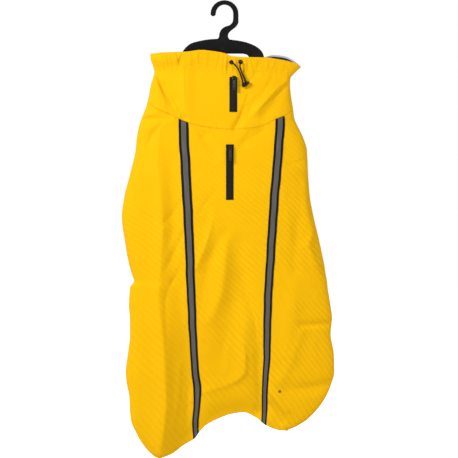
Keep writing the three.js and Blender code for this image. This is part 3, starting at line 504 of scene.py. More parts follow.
def nearestOn(path, x, z):
    # the nearest place on a path: how far it is, which side it lies on, and the path's other columns there
    path = np.array(path, float)
    away = np.full(x.shape, np.inf)
    side = np.zeros(x.shape)
    there = np.zeros((*x.shape, path.shape[1] - 2))
    for start, end in zip(path[:-1], path[1:]):
        dx, dz = end[:2] - start[:2]
        along = np.clip(((x - start[0]) * dx + (z - start[1]) * dz) / (dx * dx + dz * dz), 0, 1)
        offX, offZ = x - start[0] - along * dx, z - start[1] - along * dz
        reach = np.hypot(offX, offZ)
        nearer = reach < away
        away = np.where(nearer, reach, away)
        side = np.where(nearer, dz * offX - dx * offZ, side)
        there = np.where(nearer[..., None], start[2:] + (end[2:] - start[2:]) * along[..., None], there)
    return away, side, there


def foldHeight(x, z):
    height = np.zeros_like(x)
    for path in mainFolds.values():
        away, _, there = nearestOn(path, x, z)
        height += there[..., 1] * np.exp(-(away / there[..., 0]) ** 2)
    return height


def creaseHeight(x, z, rows):
    height = np.zeros_like(x)
    for crisp, path in rows.values():
        away, side, there = nearestOn(path, x, z)
        t = away / np.where(side > 0, there[..., 0], there[..., 1])
        soft = np.exp(-t * t)
        sharp = np.exp(-1.3 * (np.sqrt(t * t + 0.03) - 0.17))
        height += there[..., 2] * (soft + (sharp - soft) * crisp)
    return height


def crown(x, z):
    left, right = outline.at("left", z), outline.at("right", z)
    share = np.minimum(np.abs((2 * x - left - right) / (right - left)), 1)
    n = clothForm["roundness"]
    return (1 - share ** n) ** (1 / n)


# tucks of the drawn-in casing: where each starts under the rim, how far it leans, its length, width and depth
rimTucks = [
    (-150, 6, 26, 3.0, 2.0), (-146, 5, 22, 2.6, 2.6), (-141, 5, 30, 3.0, 3.2), (-136, 3, 30, 2.8, 2.8),
    (-132, 4, 34, 3.2, 3.8), (-128, 5, 26, 2.6, 2.2), (-124, 6, 30, 3.0, 3.2), (-116, 4, 24, 3.0, 2.4),
    (-110, 6, 22, 2.6, 2.4), (-104, 8, 24, 3.4, 5.2), (-92, -5, 18, 3.0, 2.8), (-72, 2, 20, 3.0, 1.2),
    (-57, 1, 18, 3.0, 1.7), (-38, 2, 16, 3.0, 0.8), (-14, -3, 32, 3.0, 1.4), (-3, -4, 46, 3.4, 2.1),
    (5, -3, 40, 3.0, 2.4), (23, 0, 18, 3.0, 2.5), (44, 3, 30, 3.0, 2.2), (54, 5, 36, 3.4, 1.7),
    (70, -6, 22, 4.0, 1.2), (92, -4, 24, 4.0, 1.8), (106, -8, 22, 4.0, 1.7), (127, -8, 20, 4.0, 1.0),
]
for i, (x, lean, length, width, depth) in enumerate(rimTucks):
    z = float(rimNear.at("z", x)) - 3
    creases[f"rim {i + 1}"] = (0.7, [
        (x + lean * down, z - length * down, width * 1.9, width * 0.6, depth * share)
        for down, share in ((0, 0.35), (0.5, 1), (1, 0.15))
    ])


def puckers(x, z):
    down = (rimNear.at("z", x) - z) / 30  # 1 is at the casing's stitches
    waves = np.sin(x / 2.3 + 1.4 * np.sin(x / 19) + 0.8 * down) + 0.6 * np.sin(x / 1.27 + 2.2 * np.sin(x / 11))
    window = np.exp(-((down - 0.95) / np.where(down < 0.95, 0.5, 0.4)) ** 2)
    seam = -0.45 * np.exp(-((down - 1) * 30 / 1.3) ** 2)
    return waves * window * 0.24 + seam


def seamPuckers(x, z):
    away = z - seamNear.at("z", x)
    waves = np.sin(x / 2.0 + 1.2 * np.sin(x / 13)) + 0.5 * np.sin(x / 3.7)
    groove = -0.26 * np.exp(-(away / 1.4) ** 2)
    return groove + 0.25 * waves * np.exp(-(away / 7) ** 2)


def nearY(x, z):
    rise = crown(x, z)
    height = foldHeight(x, z) + creaseHeight(x, z, creases) + puckers(x, z) + seamPuckers(x, z)
    return fullness.at("middle", z) - (fullness.at("near", z) + height) * rise


def farY(x, z):
    rise = crown(x, z)
    return fullness.at("middle", z) + (fullness.at("far", z) + creaseHeight(x, z, farCreases)) * rise


def onNear(x, z, lift=0.0):
    # points on the near layer and their normals
    step = 0.5
    slopeX = (nearY(x + step, z) - nearY(x - step, z)) / (2 * step)
    slopeZ = (nearY(x, z + step) - nearY(x, z - step)) / (2 * step)
    normal = np.stack([slopeX, -np.ones_like(slopeX), slopeZ], -1)
    normal /= np.linalg.norm(normal, axis=-1, keepdims=True)
    return np.stack([x, nearY(x, z), z], -1) + normal * np.expand_dims(lift, -1), normal


class Column:
    # a line down the coat at a share of its half width, -1 at the left side fold and 1 at the right one, or at x
    def __init__(self, share=0, far=0, x=None):
        self.share = share if callable(share) else lambda z: share
        self.far = far  # 0 on the near layer, 1 or -1 past the right or left side fold
        if x:
            self.x = x

    def x(self, z):
        left, right = outline.at("left", z), outline.at("right", z)
        return left + (right - left) * (self.share(z) + 1) / 2


def meet(column, edge, steps=50):
    z = edge.columns["z"][0].mean()
    for _ in range(steps):
        z = (z + edge.at("z", column.x(z))) / 2
    return z


def lay(columns, rows, upper, lower):
    # a piece's points in mm, row by row, and their places on the flat cloth
    tops = np.array([upper(c) for c in columns])
    ends = np.array([lower(c) for c in columns])
    z = tops + (ends - tops) * np.array(rows)[:, None]
    x = np.stack([c.x(z[:, i]) for i, c in enumerate(columns)], 1)
    far = np.array([c.far for c in columns])
    y = np.where(far == 0, nearY(x, z), farY(x, z))
    side = np.where(far > 0, outline.at("right", z), outline.at("left", z))
    across = np.where(far == 0, x, 2 * side - x)
    return np.stack([x, y, z], -1), np.stack([0.5 + across * mm, 1 + z * mm], -1)


def outwards(points):
    # normals of a laid piece
    across = np.gradient(points, axis=1)
    down = np.gradient(points, axis=0)
    normal = np.cross(down, across)
    return normal / np.linalg.norm(normal, axis=-1, keepdims=True)


def newObject(name, bm, finish):
    mesh = bpy.data.meshes.new(name)
    bm.to_mesh(mesh)
    bm.free()
    mesh.shade_smooth()
    mesh.materials.append(finish.material)
    made = bpy.data.objects.new(name, mesh)
    scene.collection.objects.link(made)
    return made


def gridPiece(name, points, flat, finish, wall, closed=False):
    rows, columns = points.shape[:2]
    bm = bmesh.new()
    bmesh.ops.create_grid(bm, x_segments=columns - 1, y_segments=rows - 1, size=1)
    places, cloth = points[::-1].reshape(-1, 3) * mm, flat[::-1].reshape(-1, 2)
    for vert, place in zip(bm.verts, places):
        vert.co = place
    layer = bm.loops.layers.uv.new("cloth")
    for face in bm.faces:
        for loop in face.loops:
            loop[layer].uv = cloth[loop.vert.index]
    if closed:
        bmesh.ops.remove_doubles(bm, verts=bm.verts, dist=1e-6)
    made = newObject(name, bm, finish)
    if wall:
        solid = made.modifiers.new("wall", "SOLIDIFY")
        solid.thickness = wall * mm
        solid.offset = -1
    return made


def seat(piece, slot, *nodes, on=body):
    if nodes:
        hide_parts(*nodes)
    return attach(piece, on)


def evenly(path, pitch):
    # places along a path, pitch apart, with the directions of travel
    steps = np.linalg.norm(np.diff(path, axis=0), axis=1)
    run = np.concatenate([[0], np.cumsum(steps)])
    at = np.arange(pitch / 2, run[-1], pitch)
    places = np.stack([np.interp(at, run, path[:, k]) for k in range(3)], 1)
    ahead = np.stack([np.interp(at + pitch / 4, run, path[:, k]) for k in range(3)], 1)
    behind = np.stack([np.interp(at - pitch / 4, run, path[:, k]) for k in range(3)], 1)
    return at, run, places, ahead - behind


def stitchPiece(name, runs, finish, pitch=3.0, length=2.3, thick=0.42):
    # rows of stitches, each a small round dash, joined into one piece
    whole = bmesh.new()
    for path, normals in runs:
        at, run, places, ahead = evenly(path, pitch)
        up = np.stack([np.interp(at, run, normals[:, k]) for k in range(3)], 1)
        bm = bmesh.new()
        for place, along, normal in zip(places, ahead, up):
            t = Vector(along).normalized()
            n = (Vector(normal) - t * Vector(normal).dot(t)).normalized()
            b = n.cross(t)
            turn = Matrix((t * length / 2, b * thick / 2, n * thick / 2)).transposed() * mm
            bmesh.ops.create_icosphere(bm, subdivisions=1, radius=1,
                                       matrix=Matrix.Translation(Vector(place) * mm) @ turn.to_4x4())
        part = bpy.data.meshes.new("run")
        bm.to_mesh(part)
        bm.free()
        whole.from_mesh(part)
        bpy.data.meshes.remove(part)
    return newObject(name, whole, finish)


# drawcord

drawcord = {
    "diameter": 0.003,
    "around": 24,
    "strands": 8,
    "twist": 2.6,  # turns of each strand in a centimetre
    "relief": 0.00016,
    "routes": {
        "left": [
            (0.0145, -0.0201, -0.1220), (0.0150, -0.0228, -0.1225), (0.0172, -0.0248, -0.1244),
            (0.0210, -0.0252, -0.1278), (0.0252, -0.0242, -0.1320), (0.0288, -0.0230, -0.1372),
            (0.0318, -0.0224, -0.1434), (0.0343, -0.0228, -0.1502), (0.0365, -0.0240, -0.1576),
            (0.0384, -0.0254, -0.1660), (0.0389, -0.0254, -0.1684),
        ],
        "right": [
            (0.0336, -0.0201, -0.1214), (0.0335, -0.0228, -0.1224), (0.0329, -0.0244, -0.1256),
            (0.0324, -0.0240, -0.1302), (0.0334, -0.0229, -0.1360), (0.0356, -0.0224, -0.1426),
            (0.0389, -0.0228, -0.1494), (0.0422, -0.0240, -0.1564), (0.0448, -0.0254, -0.1624),
            (0.0458, -0.0254, -0.1648),
        ],
    },
}


def smoothRoute(route, steps):
    # a curve through the route's points, evenly stepped
    p = np.array(route)
    p = np.concatenate([2 * p[:1] - p[1:2], p, 2 * p[-1:] - p[-2:-1]])
    fine = []
    for i in range(1, len(p) - 2):
        for u in np.linspace(0, 1, 12, endpoint=False):
            fine.append(0.5 * (2 * p[i] + (p[i + 1] - p[i - 1]) * u
                               + (2 * p[i - 1] - 5 * p[i] + 4 * p[i + 1] - p[i + 2]) * u ** 2
                               + (3 * p[i] - p[i - 1] - 3 * p[i + 1] + p[i + 2]) * u ** 3))
    fine = np.array([*fine, p[-2]])
    run = np.concatenate([[0], np.cumsum(np.linalg.norm(np.diff(fine, axis=0), axis=1))])
    at = np.linspace(0, run[-1], steps)
    return np.stack([np.interp(at, run, fine[:, k]) for k in range(3)], 1), run[-1]


def cordPiece(name, route, finish):
    line, length = smoothRoute(route, 150)
    around = drawcord["around"]
    along = np.gradient(line, axis=0)
    along /= np.linalg.norm(along, axis=1, keepdims=True)
    first = np.cross(along, (1.0, 0.0, 0.0))
    first /= np.linalg.norm(first, axis=1, keepdims=True)
    second = np.cross(along, first)
    turn = np.linspace(0, 2 * np.pi, around + 1)
    run = np.linspace(0, length, len(line))[:, None]
    lay1 = np.cos(drawcord["strands"] * (turn + drawcord["twist"] * 100 * run))
    lay2 = np.cos(drawcord["strands"] * (turn - drawcord["twist"] * 100 * run))
    radius = drawcord["diameter"] / 2 - drawcord["relief"] * (1 - np.maximum(lay1, lay2)) / 2
    ends = np.clip(np.minimum(run, length - run) / 0.0006, 0.35, 1)
    radius = radius * ends
    points = (line[:, None] + first[:, None] * (radius * np.cos(turn))[..., None]
              + second[:, None] * (radius * np.sin(turn))[..., None]) / mm
    flat = np.stack(np.broadcast_arrays(turn / (2 * np.pi), run * 5), -1)
    made = gridPiece(name, points, flat, finish, 0, closed=True)
    bm = bmesh.new()
    bm.from_mesh(made.data)
    rims = [e for e in bm.edges if e.is_boundary]
    bmesh.ops.holes_fill(bm, edges=rims, sides=0)
    bmesh.ops.recalc_face_normals(bm, faces=bm.faces)
    bm.to_mesh(made.data)
    bm.free()
    return made, line, length


def cordFinish():
    finish = Finish("cordBraid", Roughness=0.8, Specular_IOR_Level=0.15)
    point, _ = finish.places()
    fuzz = finish.noise(point, 900.0, 3.0)
    finish.put("Base Color", finish.mixed(fuzz, (0.003, 0.0025, 0.003), (0.013, 0.011, 0.012)))
    finish.bump(fuzz, 0.4, 0.0002)
    return finish


cordBraid = cordFinish()
cordPieces = {side: cordPiece(f"drawcord_{side}", route, cordBraid) for side, route in drawcord["routes"].items()}
print("stage: drawcord")


# finishes of the cloth

def threadFinish(name, dark, light):
    finish = Finish(name, Roughness=0.55)
    point, _ = finish.places()
    twist = finish.noise(point, 1400.0, 2.0)
    finish.put("Base Color", finish.mixed(twist, dark, light))
    finish.bump(twist, 0.3, 0.0001)
    return finish


shellLook = {
    # lit is the yellow in full light, deep the same yellow painted as in shade, more orange
    "lit": (0.965, 0.545, 0.0045),
    "deep": (0.915, 0.455, 0.0030),
    "ribSlant": 44,
    "ribSpacing": 0.0098,
    "weavePitch": 0.0009,
    "markAt": (0.6155, 0.1894),  # a small brown mark on the right lobe
    "markColour": (0.16, 0.06, 0.008),
}


def shellFinish():
    finish = Finish("coatedShell", Specular_IOR_Level=0.3, Specular_Tint=(1.0, 0.62, 0.03))
    point, (u, v, _) = finish.places("cloth")
    broad = finish.noise(point, 5.0, 3.0)
    patches = finish.noise(point, 9.0, 1.0).between(0.34, 0.52)
    # faint ribs pressed into the coating, from upper left to lower right; besides their bump they are painted into the
    # colour as stripes of shade
    slant, spacing = math.radians(shellLook["ribSlant"]), shellLook["ribSpacing"]
    warp = finish.noise(point, 7.0, 1.0) * 0.022 + (u - 0.5) * (u - 0.5) * 0.35 + (v - 0.45) * (v - 0.45) * 0.3
    across = u * math.sin(slant) + v * math.cos(slant) + warp
    ribs = (across * (2 * math.pi / spacing)).sine()
    low = 1 - v.between(0.5, 0.76) * 0.9
    ribShare = patches * low * (0.55 + u.between(0.30, 0.66) * 0.8)
    threads = 2 * math.pi / shellLook["weavePitch"]
    weave = (u * threads).sine() * (v * threads).sine()
    grain = finish.noise(point, 420.0, 2.0)
    # painted shade: along the ribs the colour is mixed towards the shaded deep yellow; the broad noise varies the tone
    # at random
    shade = broad.between(0.2, 0.8) * 0.30 + ribs * ribShare * 0.24 + 0.32
    du, dv = u - shellLook["markAt"][0], v - shellLook["markAt"][1]
    mark = (1 - (du * du + dv * dv).between(0.000003, 0.000017)) * 0.9
    cloth = finish.mixed(shade, shellLook["lit"], shellLook["deep"])
    finish.put("Base Color", finish.mixed(mark, cloth, shellLook["markColour"]))
    finish.put("Roughness", 0.56 + grain * 0.12)
    height = ribs * ribShare + weave * 0.06 + grain * 0.10
    finish.bump(height, 0.42, 0.0008)
    return finish


def facingFinish():
    finish = Finish("darkFacing", Roughness=0.85, Specular_IOR_Level=0.25)
    point, (u, v, _) = finish.places("cloth")
    weave = ((u * 4200).sine() * (v * 4200).sine()) * 0.5 + 0.5
    lint = finish.noise(point, 160.0, 3.0)
    dark = finish.mixed(lint, (0.008, 0.009, 0.016), (0.022, 0.024, 0.038))
    # a pale grey band along the top 4 mm of the facing, just below the rim
    paleTopBand = 1 - v.between(0.0036, 0.0044)
    finish.put("Base Color", finish.mixed(paleTopBand, dark, (0.50, 0.49, 0.56)))
    finish.bump(weave, 0.3, 0.0003)
    return finish


shell = shellFinish()
darkFacing = facingFinish()
threadYellow = threadFinish("yellowThread", (0.86, 0.45, 0.005), (0.95, 0.53, 0.007))
threadBlack = threadFinish("blackThread", (0.006, 0.006, 0.006), (0.03, 0.03, 0.03))
print("stage: cloth finishes")


# collar and its facing

theta = np.linspace(np.pi, 0, 1200)
ringX = np.sign(np.cos(theta)) * np.abs(np.cos(theta)) ** (2 / clothForm["roundness"])
ringY = np.abs(np.sin(theta)) ** (2 / clothForm["roundness"])
ringRun = np.concatenate([[0], np.cumsum(np.hypot(np.diff(ringX * 190), np.diff(ringY * 27)))])


def ringShares(count):
    # shares across a layer, from -1 to 1, evenly spaced along its curve
    return np.interp(np.linspace(0, ringRun[-1], count), ringRun, ringX)


def aboveSeam(column):
    return meet(column, seamFar if column.far else seamNear) + clothForm["gap"] / 2


def belowSeam(column):
    return meet(column, seamFar if column.far else seamNear) - clothForm["gap"] / 2


def rimOf(column):
    return meet(column, rimFar if column.far else rimNear)


def rowsWith(count, *clusters):
    # even rows, with closer ones where a seam or a stitched line needs them
    rows = [np.linspace(0, 1, count)]
    for centre, step in clusters:
        rows.append(centre + step * np.arange(-3, 4))
    return np.unique(np.clip(np.concatenate(rows), 0, 1).round(5))


def makeCollar():
    near = [Column(s) for s in ringShares(clothForm["collarColumns"])]
    back = [Column(s, 1) for s in ringShares(90)[::-1][1:-1]]
    columns = [*near, *back, near[0]]
    rows = rowsWith(70, (clothForm["casing"], 0.006), (1, 0.004))
    points, flat = lay(columns, rows, rimOf, aboveSeam)
    flat[:, -1, 0] = 2 * (0.5 + outline.at("right", points[:, -1, 2]) * mm) - flat[:, 0, 0]
    collar = gridPiece("collar_cloth", points, flat, shell, clothForm["wall"], closed=True)
    seat(collar, "shell", "collar")
    lining = rows <= 0.3
    inside = points[lining] - outwards(points)[lining] * (clothForm["wall"] + 0.45)
    inside[0, :, 2] -= 0.6
    belowRim = flat[lining].copy()
    belowRim[..., 1] = (points[:1, :, 2] - points[lining][..., 2]) * mm
    facing = gridPiece("collar_facing_cloth", inside, belowRim, darkFacing, 0.6, closed=True)
    seat(facing, "facing", "collar_facing")
    return collar, facing, points, rows


collar, facing, collarPoints, collarRows = makeCollar()
print("stage: collar")


# back, with its turns onto the far side

def makeBack():
    near = [Column(s) for s in ringShares(clothForm["columns"])]
    shares = np.linspace(0, 1, 8)[1:] ** 1.6
    right = [Column(lambda z, s=s: 1 - s * wrap.at("right", z), 1) for s in shares]
    left = [Column(lambda z, s=s: -1 + s * wrap.at("left", z), -1) for s in shares[::-1]]
    rows = rowsWith(232, (0, 0.0008), (1, 0.0028))
    points, flat = lay([*left, *near, *right], rows, belowSeam, lambda c: meet(c, hem))
    # the hem is turned under and stands a little proud
    low = points[-1:, :, 2]
    band = 1 / (1 + np.exp((points[:, :, 2] - low - 9) / 0.7))
    points = points + outwards(points) * (0.55 * band)[..., None]
    back = gridPiece("back_cloth", points, flat, shell, clothForm["wall"])
    seat(back, "shell", "back_panel")
    return back


back = makeBack()
print("stage: back")


# far side: side panels, chest panel and belly strap

def makeFarSide():
    made = {}
    inner, gap = clothForm["sideInner"], clothForm["sideGap"]
    for side, sign in (("right", 1), ("left", -1)):
        def share(a, side=side, sign=sign):
            return lambda z: sign * (1 - wrap.at(side, z) - gap + (wrap.at(side, z) + gap - inner) * a)
        columns = [Column(share(a), sign) for a in np.linspace(0, 1, 14)]
        points, flat = lay(columns[::sign], np.linspace(0, 1, 110), belowSeam, lambda c: clothForm["sideBottom"])
        made[side] = gridPiece(f"side_{side}_cloth", points, flat, shell, clothForm["wall"])
        seat(made[side], "shell", f"side_{side}")
    across = np.linspace(1, -1, 72)
    columns = [Column(lambda z, a=a: a * (chestEdge.at("share", z) - gap), 1) for a in across]
    points, flat = lay(columns, np.linspace(0, 1, 84), belowSeam, lambda c: clothForm["strapTop"] + 0.3)
    made["chest"] = gridPiece("chest_cloth", points, flat, shell, clothForm["wall"])
    seat(made["chest"], "shell", "chest_panel")
    columns = [Column(a * (1 - inner - gap), 1) for a in across]
    low = clothForm["strapTop"] - clothForm["strapDrop"]
    points, flat = lay(columns, np.linspace(0, 1, 24), lambda c: clothForm["strapTop"], lambda c: low)
    made["strap"] = gridPiece("strap_cloth", points, flat, shell, clothForm["wall"])
    seat(made["strap"], "shell", "belly_strap")
    return made


farSide = makeFarSide()
print("stage: far side")


# reflective tapes

tapeForm = {
    # places across the tape, and how far each stands off the cloth in mm
    "across": [0, 0.012, 0.05, 0.15, 0.235, 0.26, 0.32, 0.41, 0.5, 0.59, 0.68, 0.74, 0.765, 0.85, 0.95, 0.988, 1],
    "lift": [0.35, 0.8, 0.85, 0.85, 0.85, 1.05, 1.08, 1.08, 1.08, 1.08, 1.08, 1.05, 0.85, 0.85, 0.85, 0.8, 0.35],
    "stitchAt": (0.10, 0.90),
    "wobble": 0.45,
}


def tapeFinish():
    finish = Finish("reflectiveTape", Specular_IOR_Level=0.12)
    point, (u, v, _) = finish.places("strip")
    stripe = (u - 0.5).size().between(0.262, 0.245)
    beads = finish.noise(point, 420.0, 2.0)
    worn = finish.noise(point, 26.0, 3.0).between(0.45, 0.75)
    ribs = (v * (2 * math.pi / 0.0011)).sine()
    grey = finish.mixed(beads * 0.45 + worn * 0.55, (0.083, 0.078, 0.077), (0.170, 0.162, 0.160))
    black = finish.mixed(ribs * 0.3 + 0.4, (0.004, 0.004, 0.0045), (0.012, 0.011, 0.012))
    finish.put("Base Color", finish.mixed(stripe, black, grey))
    finish.put("Roughness", 0.75 - stripe * 0.25)
    finish.bump(ribs * (1 - stripe) * 0.5 + beads * stripe * 0.25, 0.4, 0.0003)
    return finish


def runDown(points):
    # how far down the strip each point lies, in metres
    run = np.concatenate([[0], np.cumsum(np.linalg.norm(np.diff(points[:, 0], axis=0), axis=1))]) * mm
    return np.broadcast_to(run[:, None], points.shape[:2])


def inTrim(edges, share):
    # a line at a share of the way from one of the trim's edges to another
    return lambda z: trim.at(edges[0], z) * (1 - share) + trim.at(edges[1], z) * share


def stripPiece(name, edges, form, heights, finish, phase=0):
    # a strip laid on the near layer between two of the trim's edges
    across, lift, wobble = form["across"], form["lift"], form.get("wobble", 0)
    columns = [Column(x=inTrim(edges, share)) for share in across]
    tops = np.array([heights[0](c) for c in columns])
    ends = np.array([heights[1](c) for c in columns])
    rows = np.linspace(0, 1, heights[2])
    z = tops + (ends - tops) * rows[:, None]
    x = np.stack([c.x(z[:, i]) for i, c in enumerate(columns)], 1)
    x = x + wobble * np.sin(z / 11) * np.sin(z / 37 + phase)
    ripple = wobble * 0.35 * np.sin(z / 4.6 + 3 * np.sin(z / 29 + phase))
    points, _ = onNear(x, z, np.array(lift) + ripple * (np.array(lift) > 0.5))
    flat = np.stack([np.broadcast_to(np.array(across), x.shape), runDown(points)], -1)
    made = gridPiece(name, points, flat, finish, 0.35)
    made.data.uv_layers[0].name = "strip"
    return made


def lineOnNear(xOf, z, lift):
    return onNear(xOf(z), z, np.full_like(z, lift))


def makeTapes():
    finish = tapeFinish()
    made, runs = {}, []
    for side, edges, phase in (("left", ("tapeL0", "tapeL1"), 4), ("right", ("tapeR0", "tapeR1"), 3)):
        heights = (lambda c: meet(c, seamNear) - 0.4, lambda c: meet(c, hem) + 0.2, 236)
        made[side] = stripPiece(f"tape_{side}_cloth", edges, tapeForm, heights, finish, phase)
        seat(made[side], "reflective_tape", f"tape_{side}")
        for share in tapeForm["stitchAt"]:
            line = Column(x=inTrim(edges, share))
            z = np.linspace(meet(line, seamNear) - 2, meet(line, hem) + 2, 500)
            runs.append(lineOnNear(line.x, z, 0.95))
    seat(stitchPiece("tape_stitches", runs, threadBlack), "reflective_tape")
    return made


tapes = makeTapes()
print("stage: tapes")


# zips

zipForm = {
    "across": [0, 0.03, 0.12, 0.30, 0.38, 0.44, 0.485, 0.5, 0.515, 0.56, 0.62, 0.70, 0.88, 0.97, 1],
    "lift": [0.3, 0.75, 0.8, 0.8, 0.95, 1.3, 1.4, 1.1, 1.4, 1.3, 0.95, 0.8, 0.8, 0.75, 0.3],
    "collarShares": (0.286, 0.764),
    "backShares": (0.0535, 0.248),
    "stitchAt": (0.07, 0.93),
}


def zipFinish():
    finish = Finish("zipTape", Specular_IOR_Level=0.14)
    point, (u, v, _) = finish.places("strip")
    weave = (v * (2 * math.pi / 0.0010)).sine()
    fleck = finish.noise(point, 300.0, 3.0)
    lips = (u - 0.5).size().between(0.14, 0.10)
    finish.put("Base Color", finish.mixed(fleck, (0.007, 0.0066, 0.007), (0.016, 0.0145, 0.0155)))
    finish.put("Roughness", 0.62 - lips * 0.16 + fleck * 0.1)
    finish.bump(weave * (1 - lips) * 0.4 + fleck * 0.3, 0.35, 0.0003)
    return finish


def makeZips():
    finish = zipFinish()
    made, runs = {}, []
    edges = ("zip0", "zip1")
    for name, shares, upper, lower in (
        ("collar", zipForm["collarShares"], rimNear, seamNear),
        ("back", zipForm["backShares"], seamNear, hem),
    ):
        def height(share, upper=upper, lower=lower):
            return lambda c: meet(c, upper) * (1 - share) + meet(c, lower) * share
        middle = Column(x=inTrim(edges, 0.5))
        z0, z1 = (height(s)(middle) for s in shares)
        heights = (lambda c, z0=z0: z0, lambda c, z1=z1: z1, 44)
        made[name] = stripPiece(f"zip_{name}_strip", edges, zipForm, heights, finish)
        seat(made[name], "zip_tape", f"zip_{name}")
        for share in zipForm["stitchAt"]:
            runs.append(lineOnNear(inTrim(edges, share), np.linspace(z0 - 1.5, z1 + 1.5, 120), 0.85))
        ends = np.linspace(*zipForm["stitchAt"], 30)
        for z in (z0 - 2.2, z1 + 1.8):
            x = inTrim(edges, ends)(z)
            runs.append(onNear(x, np.full_like(x, z), np.full_like(x, 1.0)))
    seat(stitchPiece("zip_stitches", runs, threadBlack, pitch=2.6, length=2.0, thick=0.36), "zip_tape")
    return made


zipStrips = makeZips()
print("stage: zip strips")


# hard pieces

def enamelFinish(name, colour, light, rough):
    finish = Finish(name, Specular_IOR_Level=0.5)
    point, _ = finish.places()
    fleck = finish.noise(point, 700.0, 2.0)
    scuff = finish.noise(point, 90.0, 3.0).between(0.55, 0.8)
    finish.put("Base Color", finish.mixed(scuff * 0.5 + fleck * 0.2, colour, light))
    finish.put("Roughness", rough + scuff * 0.15)
    finish.bump(fleck, 0.12, 0.0001)
    return finish


enamel = enamelFinish("blackEnamel", (0.010, 0.010, 0.011), (0.045, 0.045, 0.047), 0.26)
enamel.put("Metallic", 0.2)
bareMetal = enamelFinish("bareMetal", (0.34, 0.34, 0.35), (0.55, 0.55, 0.56), 0.32)
bareMetal.put("Metallic", 0.9)
lockPlastic = enamelFinish("lockPlastic", (0.004, 0.004, 0.0045), (0.014, 0.013, 0.014), 0.26)
lockPlastic.put("Specular_IOR_Level", 0.4)
# painted glint: the pulls' enamel is a lighter grey than the sliders', standing in for the grey highlights on them
pullEnamelPaintedGlint = enamelFinish("pullEnamelPaintedGlint", (0.040, 0.040, 0.043), (0.120, 0.120, 0.125), 0.3)
pullEnamelPaintedGlint.put("Metallic", 0.3)
hangerPlastic = enamelFinish("hangerPlastic", (0.005, 0.005, 0.0055), (0.009, 0.009, 0.0095), 0.34)
hangerPlastic.put("Specular_IOR_Level", 0.22)


def bevelledCopy(name, node, finish, width, segments=3, sharp=30):
    # a copy of a solid with its flat faces joined and its edges rounded
    bm = bmesh.new()
    bm.from_mesh(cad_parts[node].data)
    bmesh.ops.remove_doubles(bm, verts=bm.verts, dist=2e-6)
    bmesh.ops.dissolve_limit(bm, angle_limit=math.radians(1.5), verts=bm.verts, edges=bm.edges)
    edges = [e for e in bm.edges if e.is_manifold and e.calc_face_angle() > math.radians(sharp)]
    bmesh.ops.bevel(bm, geom=edges, offset=width * mm, segments=segments, profile=0.5, affect="EDGES",
                    material=-1, clamp_overlap=True)
    return newObject(name, bm, finish)


cordLock = {
    "centre": (43.6, -25.4, -168.6),
    "deep": 0.88,  # front to back, as a share of its height
    "tilt": 27,
    # half its outline, from the closed end over the groove to the knob: place along it and radius
    "profile": [
        (-8.4, 0), (-8.3, 1.6), (-7.9, 2.7), (-7.1, 3.5), (-5.8, 3.9), (-3.6, 4.0), (0.4, 4.0), (3.4, 3.9),
        (4.5, 3.6), (5.0, 3.0), (5.2, 2.1), (5.9, 2.0), (6.1, 2.6), (6.5, 3.1), (7.2, 3.4), (8.0, 3.2),
        (8.7, 2.6), (9.1, 1.7), (9.2, 0),
    ],
    "ring": (1.95, 0.45, 1.9),  # radius, thickness and how far up its cord
    # the cords' cut ends: x, z and lean of each
    "tails": ((39.4, -172.9, 10), (45.2, -171.4, 4)),
    "tailLength": 4.2,
}


def makeLock():
    bm = bmesh.new()
    verts = [bm.verts.new((along, 0, radius)) for along, radius in cordLock["profile"]]
    edges = [bm.edges.new(pair) for pair in zip(verts, verts[1:])]
    bmesh.ops.spin(bm, geom=verts + edges, axis=(1, 0, 0), cent=(0, 0, 0), angle=2 * math.pi, steps=40, use_merge=True)
    bmesh.ops.remove_doubles(bm, verts=bm.verts, dist=1e-4)
    bmesh.ops.recalc_face_normals(bm, faces=bm.faces)
    turn = Matrix.Rotation(-math.radians(cordLock["tilt"]), 4, "Y") @ Matrix.Diagonal((1, cordLock["deep"], 1, 1))
    place = Matrix.Scale(mm, 4) @ Matrix.Translation(cordLock["centre"]) @ turn
    bmesh.ops.transform(bm, matrix=place, verts=bm.verts)
    radius, thick, up = cordLock["ring"]
    for _, line, _ in cordPieces.values():
        end, along = Vector(line[-1]), Vector(line[-1] - line[-6]).normalized()
        ring = bmesh.new()
        bmesh.ops.create_circle(ring, segments=12, radius=thick)
        bmesh.ops.rotate(ring, verts=ring.verts, cent=(0, 0, 0), matrix=Matrix.Rotation(math.radians(90), 3, "X"))
        bmesh.ops.translate(ring, verts=ring.verts, vec=(radius, 0, 0))
        bmesh.ops.spin(ring, geom=ring.verts[:] + ring.edges[:], axis=(0, 0, 1), cent=(0, 0, 0), angle=2 * math.pi,
                       steps=24, use_merge=True)
        bmesh.ops.remove_doubles(ring, verts=ring.verts, dist=1e-4)
        bmesh.ops.recalc_face_normals(ring, faces=ring.faces)
        aim = along.to_track_quat("Z", "Y").to_matrix().to_4x4() @ Matrix.Scale(mm, 4)
        bmesh.ops.transform(ring, matrix=Matrix.Translation(end - along * up * mm) @ aim, verts=ring.verts)
        part = bpy.data.meshes.new("ring")
        ring.to_mesh(part)
        ring.free()
        bm.from_mesh(part)
        bpy.data.meshes.remove(part)
    return newObject("cord_lock_body", bm, lockPlastic)


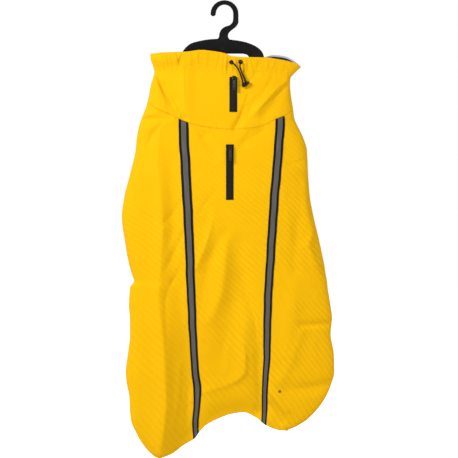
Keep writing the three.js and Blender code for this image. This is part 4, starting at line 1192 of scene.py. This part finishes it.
def makeCordTails():
    # the cut ends of both cords, just below the lock
    bm = bmesh.new()
    for x, z, lean in cordLock["tails"]:
        place = Matrix.Translation(Vector((x, cordLock["centre"][1], z)) * mm)
        made = bmesh.ops.create_cone(bm, cap_ends=True, segments=16, radius1=1.35 * mm, radius2=1.5 * mm,
                                     depth=cordLock["tailLength"] * mm,
                                     matrix=place @ Matrix.Rotation(math.radians(lean), 4, "Y"))
        rims = [e for e in {e for v in made["verts"] for e in v.link_edges} if e.calc_face_angle(0) > 1]
        bmesh.ops.bevel(bm, geom=rims, offset=0.35 * mm, segments=2, profile=0.5, affect="EDGES", material=-1)
    return seat(newObject("cord_tails", bm, cordBraid), "cord")


def makeHardware():
    made = {}
    for which in ("collar", "back"):
        slider = bevelledCopy(f"zip_{which}_slider_metal", f"zip_{which}_slider", enamel, 0.3)
        seat(slider, "zip_metal", f"zip_{which}_slider")
        pull = bevelledCopy(f"zip_{which}_pull_metal", f"zip_{which}_pull", pullEnamelPaintedGlint, 0.3)
        seat(pull, "zip_metal", f"zip_{which}_pull", on=f"{which}_pull")
        made[which] = (slider, pull)
    for side in ("left", "right"):
        made[f"eyelet_{side}"] = bevelledCopy(f"eyelet_{side}_metal", f"eyelet_{side}", enamel, 0.35)
        seat(made[f"eyelet_{side}"], "eyelet", f"eyelet_{side}")
    made["lock"] = makeLock()
    seat(made["lock"], "lock_plastic", "cord_lock")
    makeCordTails()
    made["hanger"] = bevelledCopy("hanger_moulding", "hanger", hangerPlastic, 0.9)
    seat(made["hanger"], "hanger_plastic", "hanger")
    return made


hardware = makeHardware()
print("stage: hardware and hanger")


# seams

def makeSeamStitches():
    runs = []
    # two rows below the collar seam and one above it, on the near side
    x = np.linspace(-158, 139, 400)
    for drop in (-2.2, 1.8):
        z = seamNear.at("z", x) + drop
        runs.append(onNear(x, z, np.full_like(x, 0.1)))
    # the casing, on the near side
    row = np.argmin(np.abs(collarRows - clothForm["casing"]))
    casing = collarPoints[row]
    runs.append((casing, outwards(collarPoints)[row]))
    # the hem
    x = np.linspace(-128, 126, 400)
    z = hem.at("z", x) + 8
    runs.append(onNear(x, z, np.full_like(x, 0.6)))
    stitches = stitchPiece("seam_stitches", runs, threadYellow, pitch=3.0, length=2.2, thick=0.4)
    seat(stitches, "shell")
    return stitches


seamStitches = makeSeamStitches()
print("stage: seams")


# the drawcords: their CAD parts hidden and the cords attached to the coat

def declare():
    for side, (piece, line, length) in cordPieces.items():
        seat(piece, "cord", f"cord_{side}")


declare()

print("stage: done")
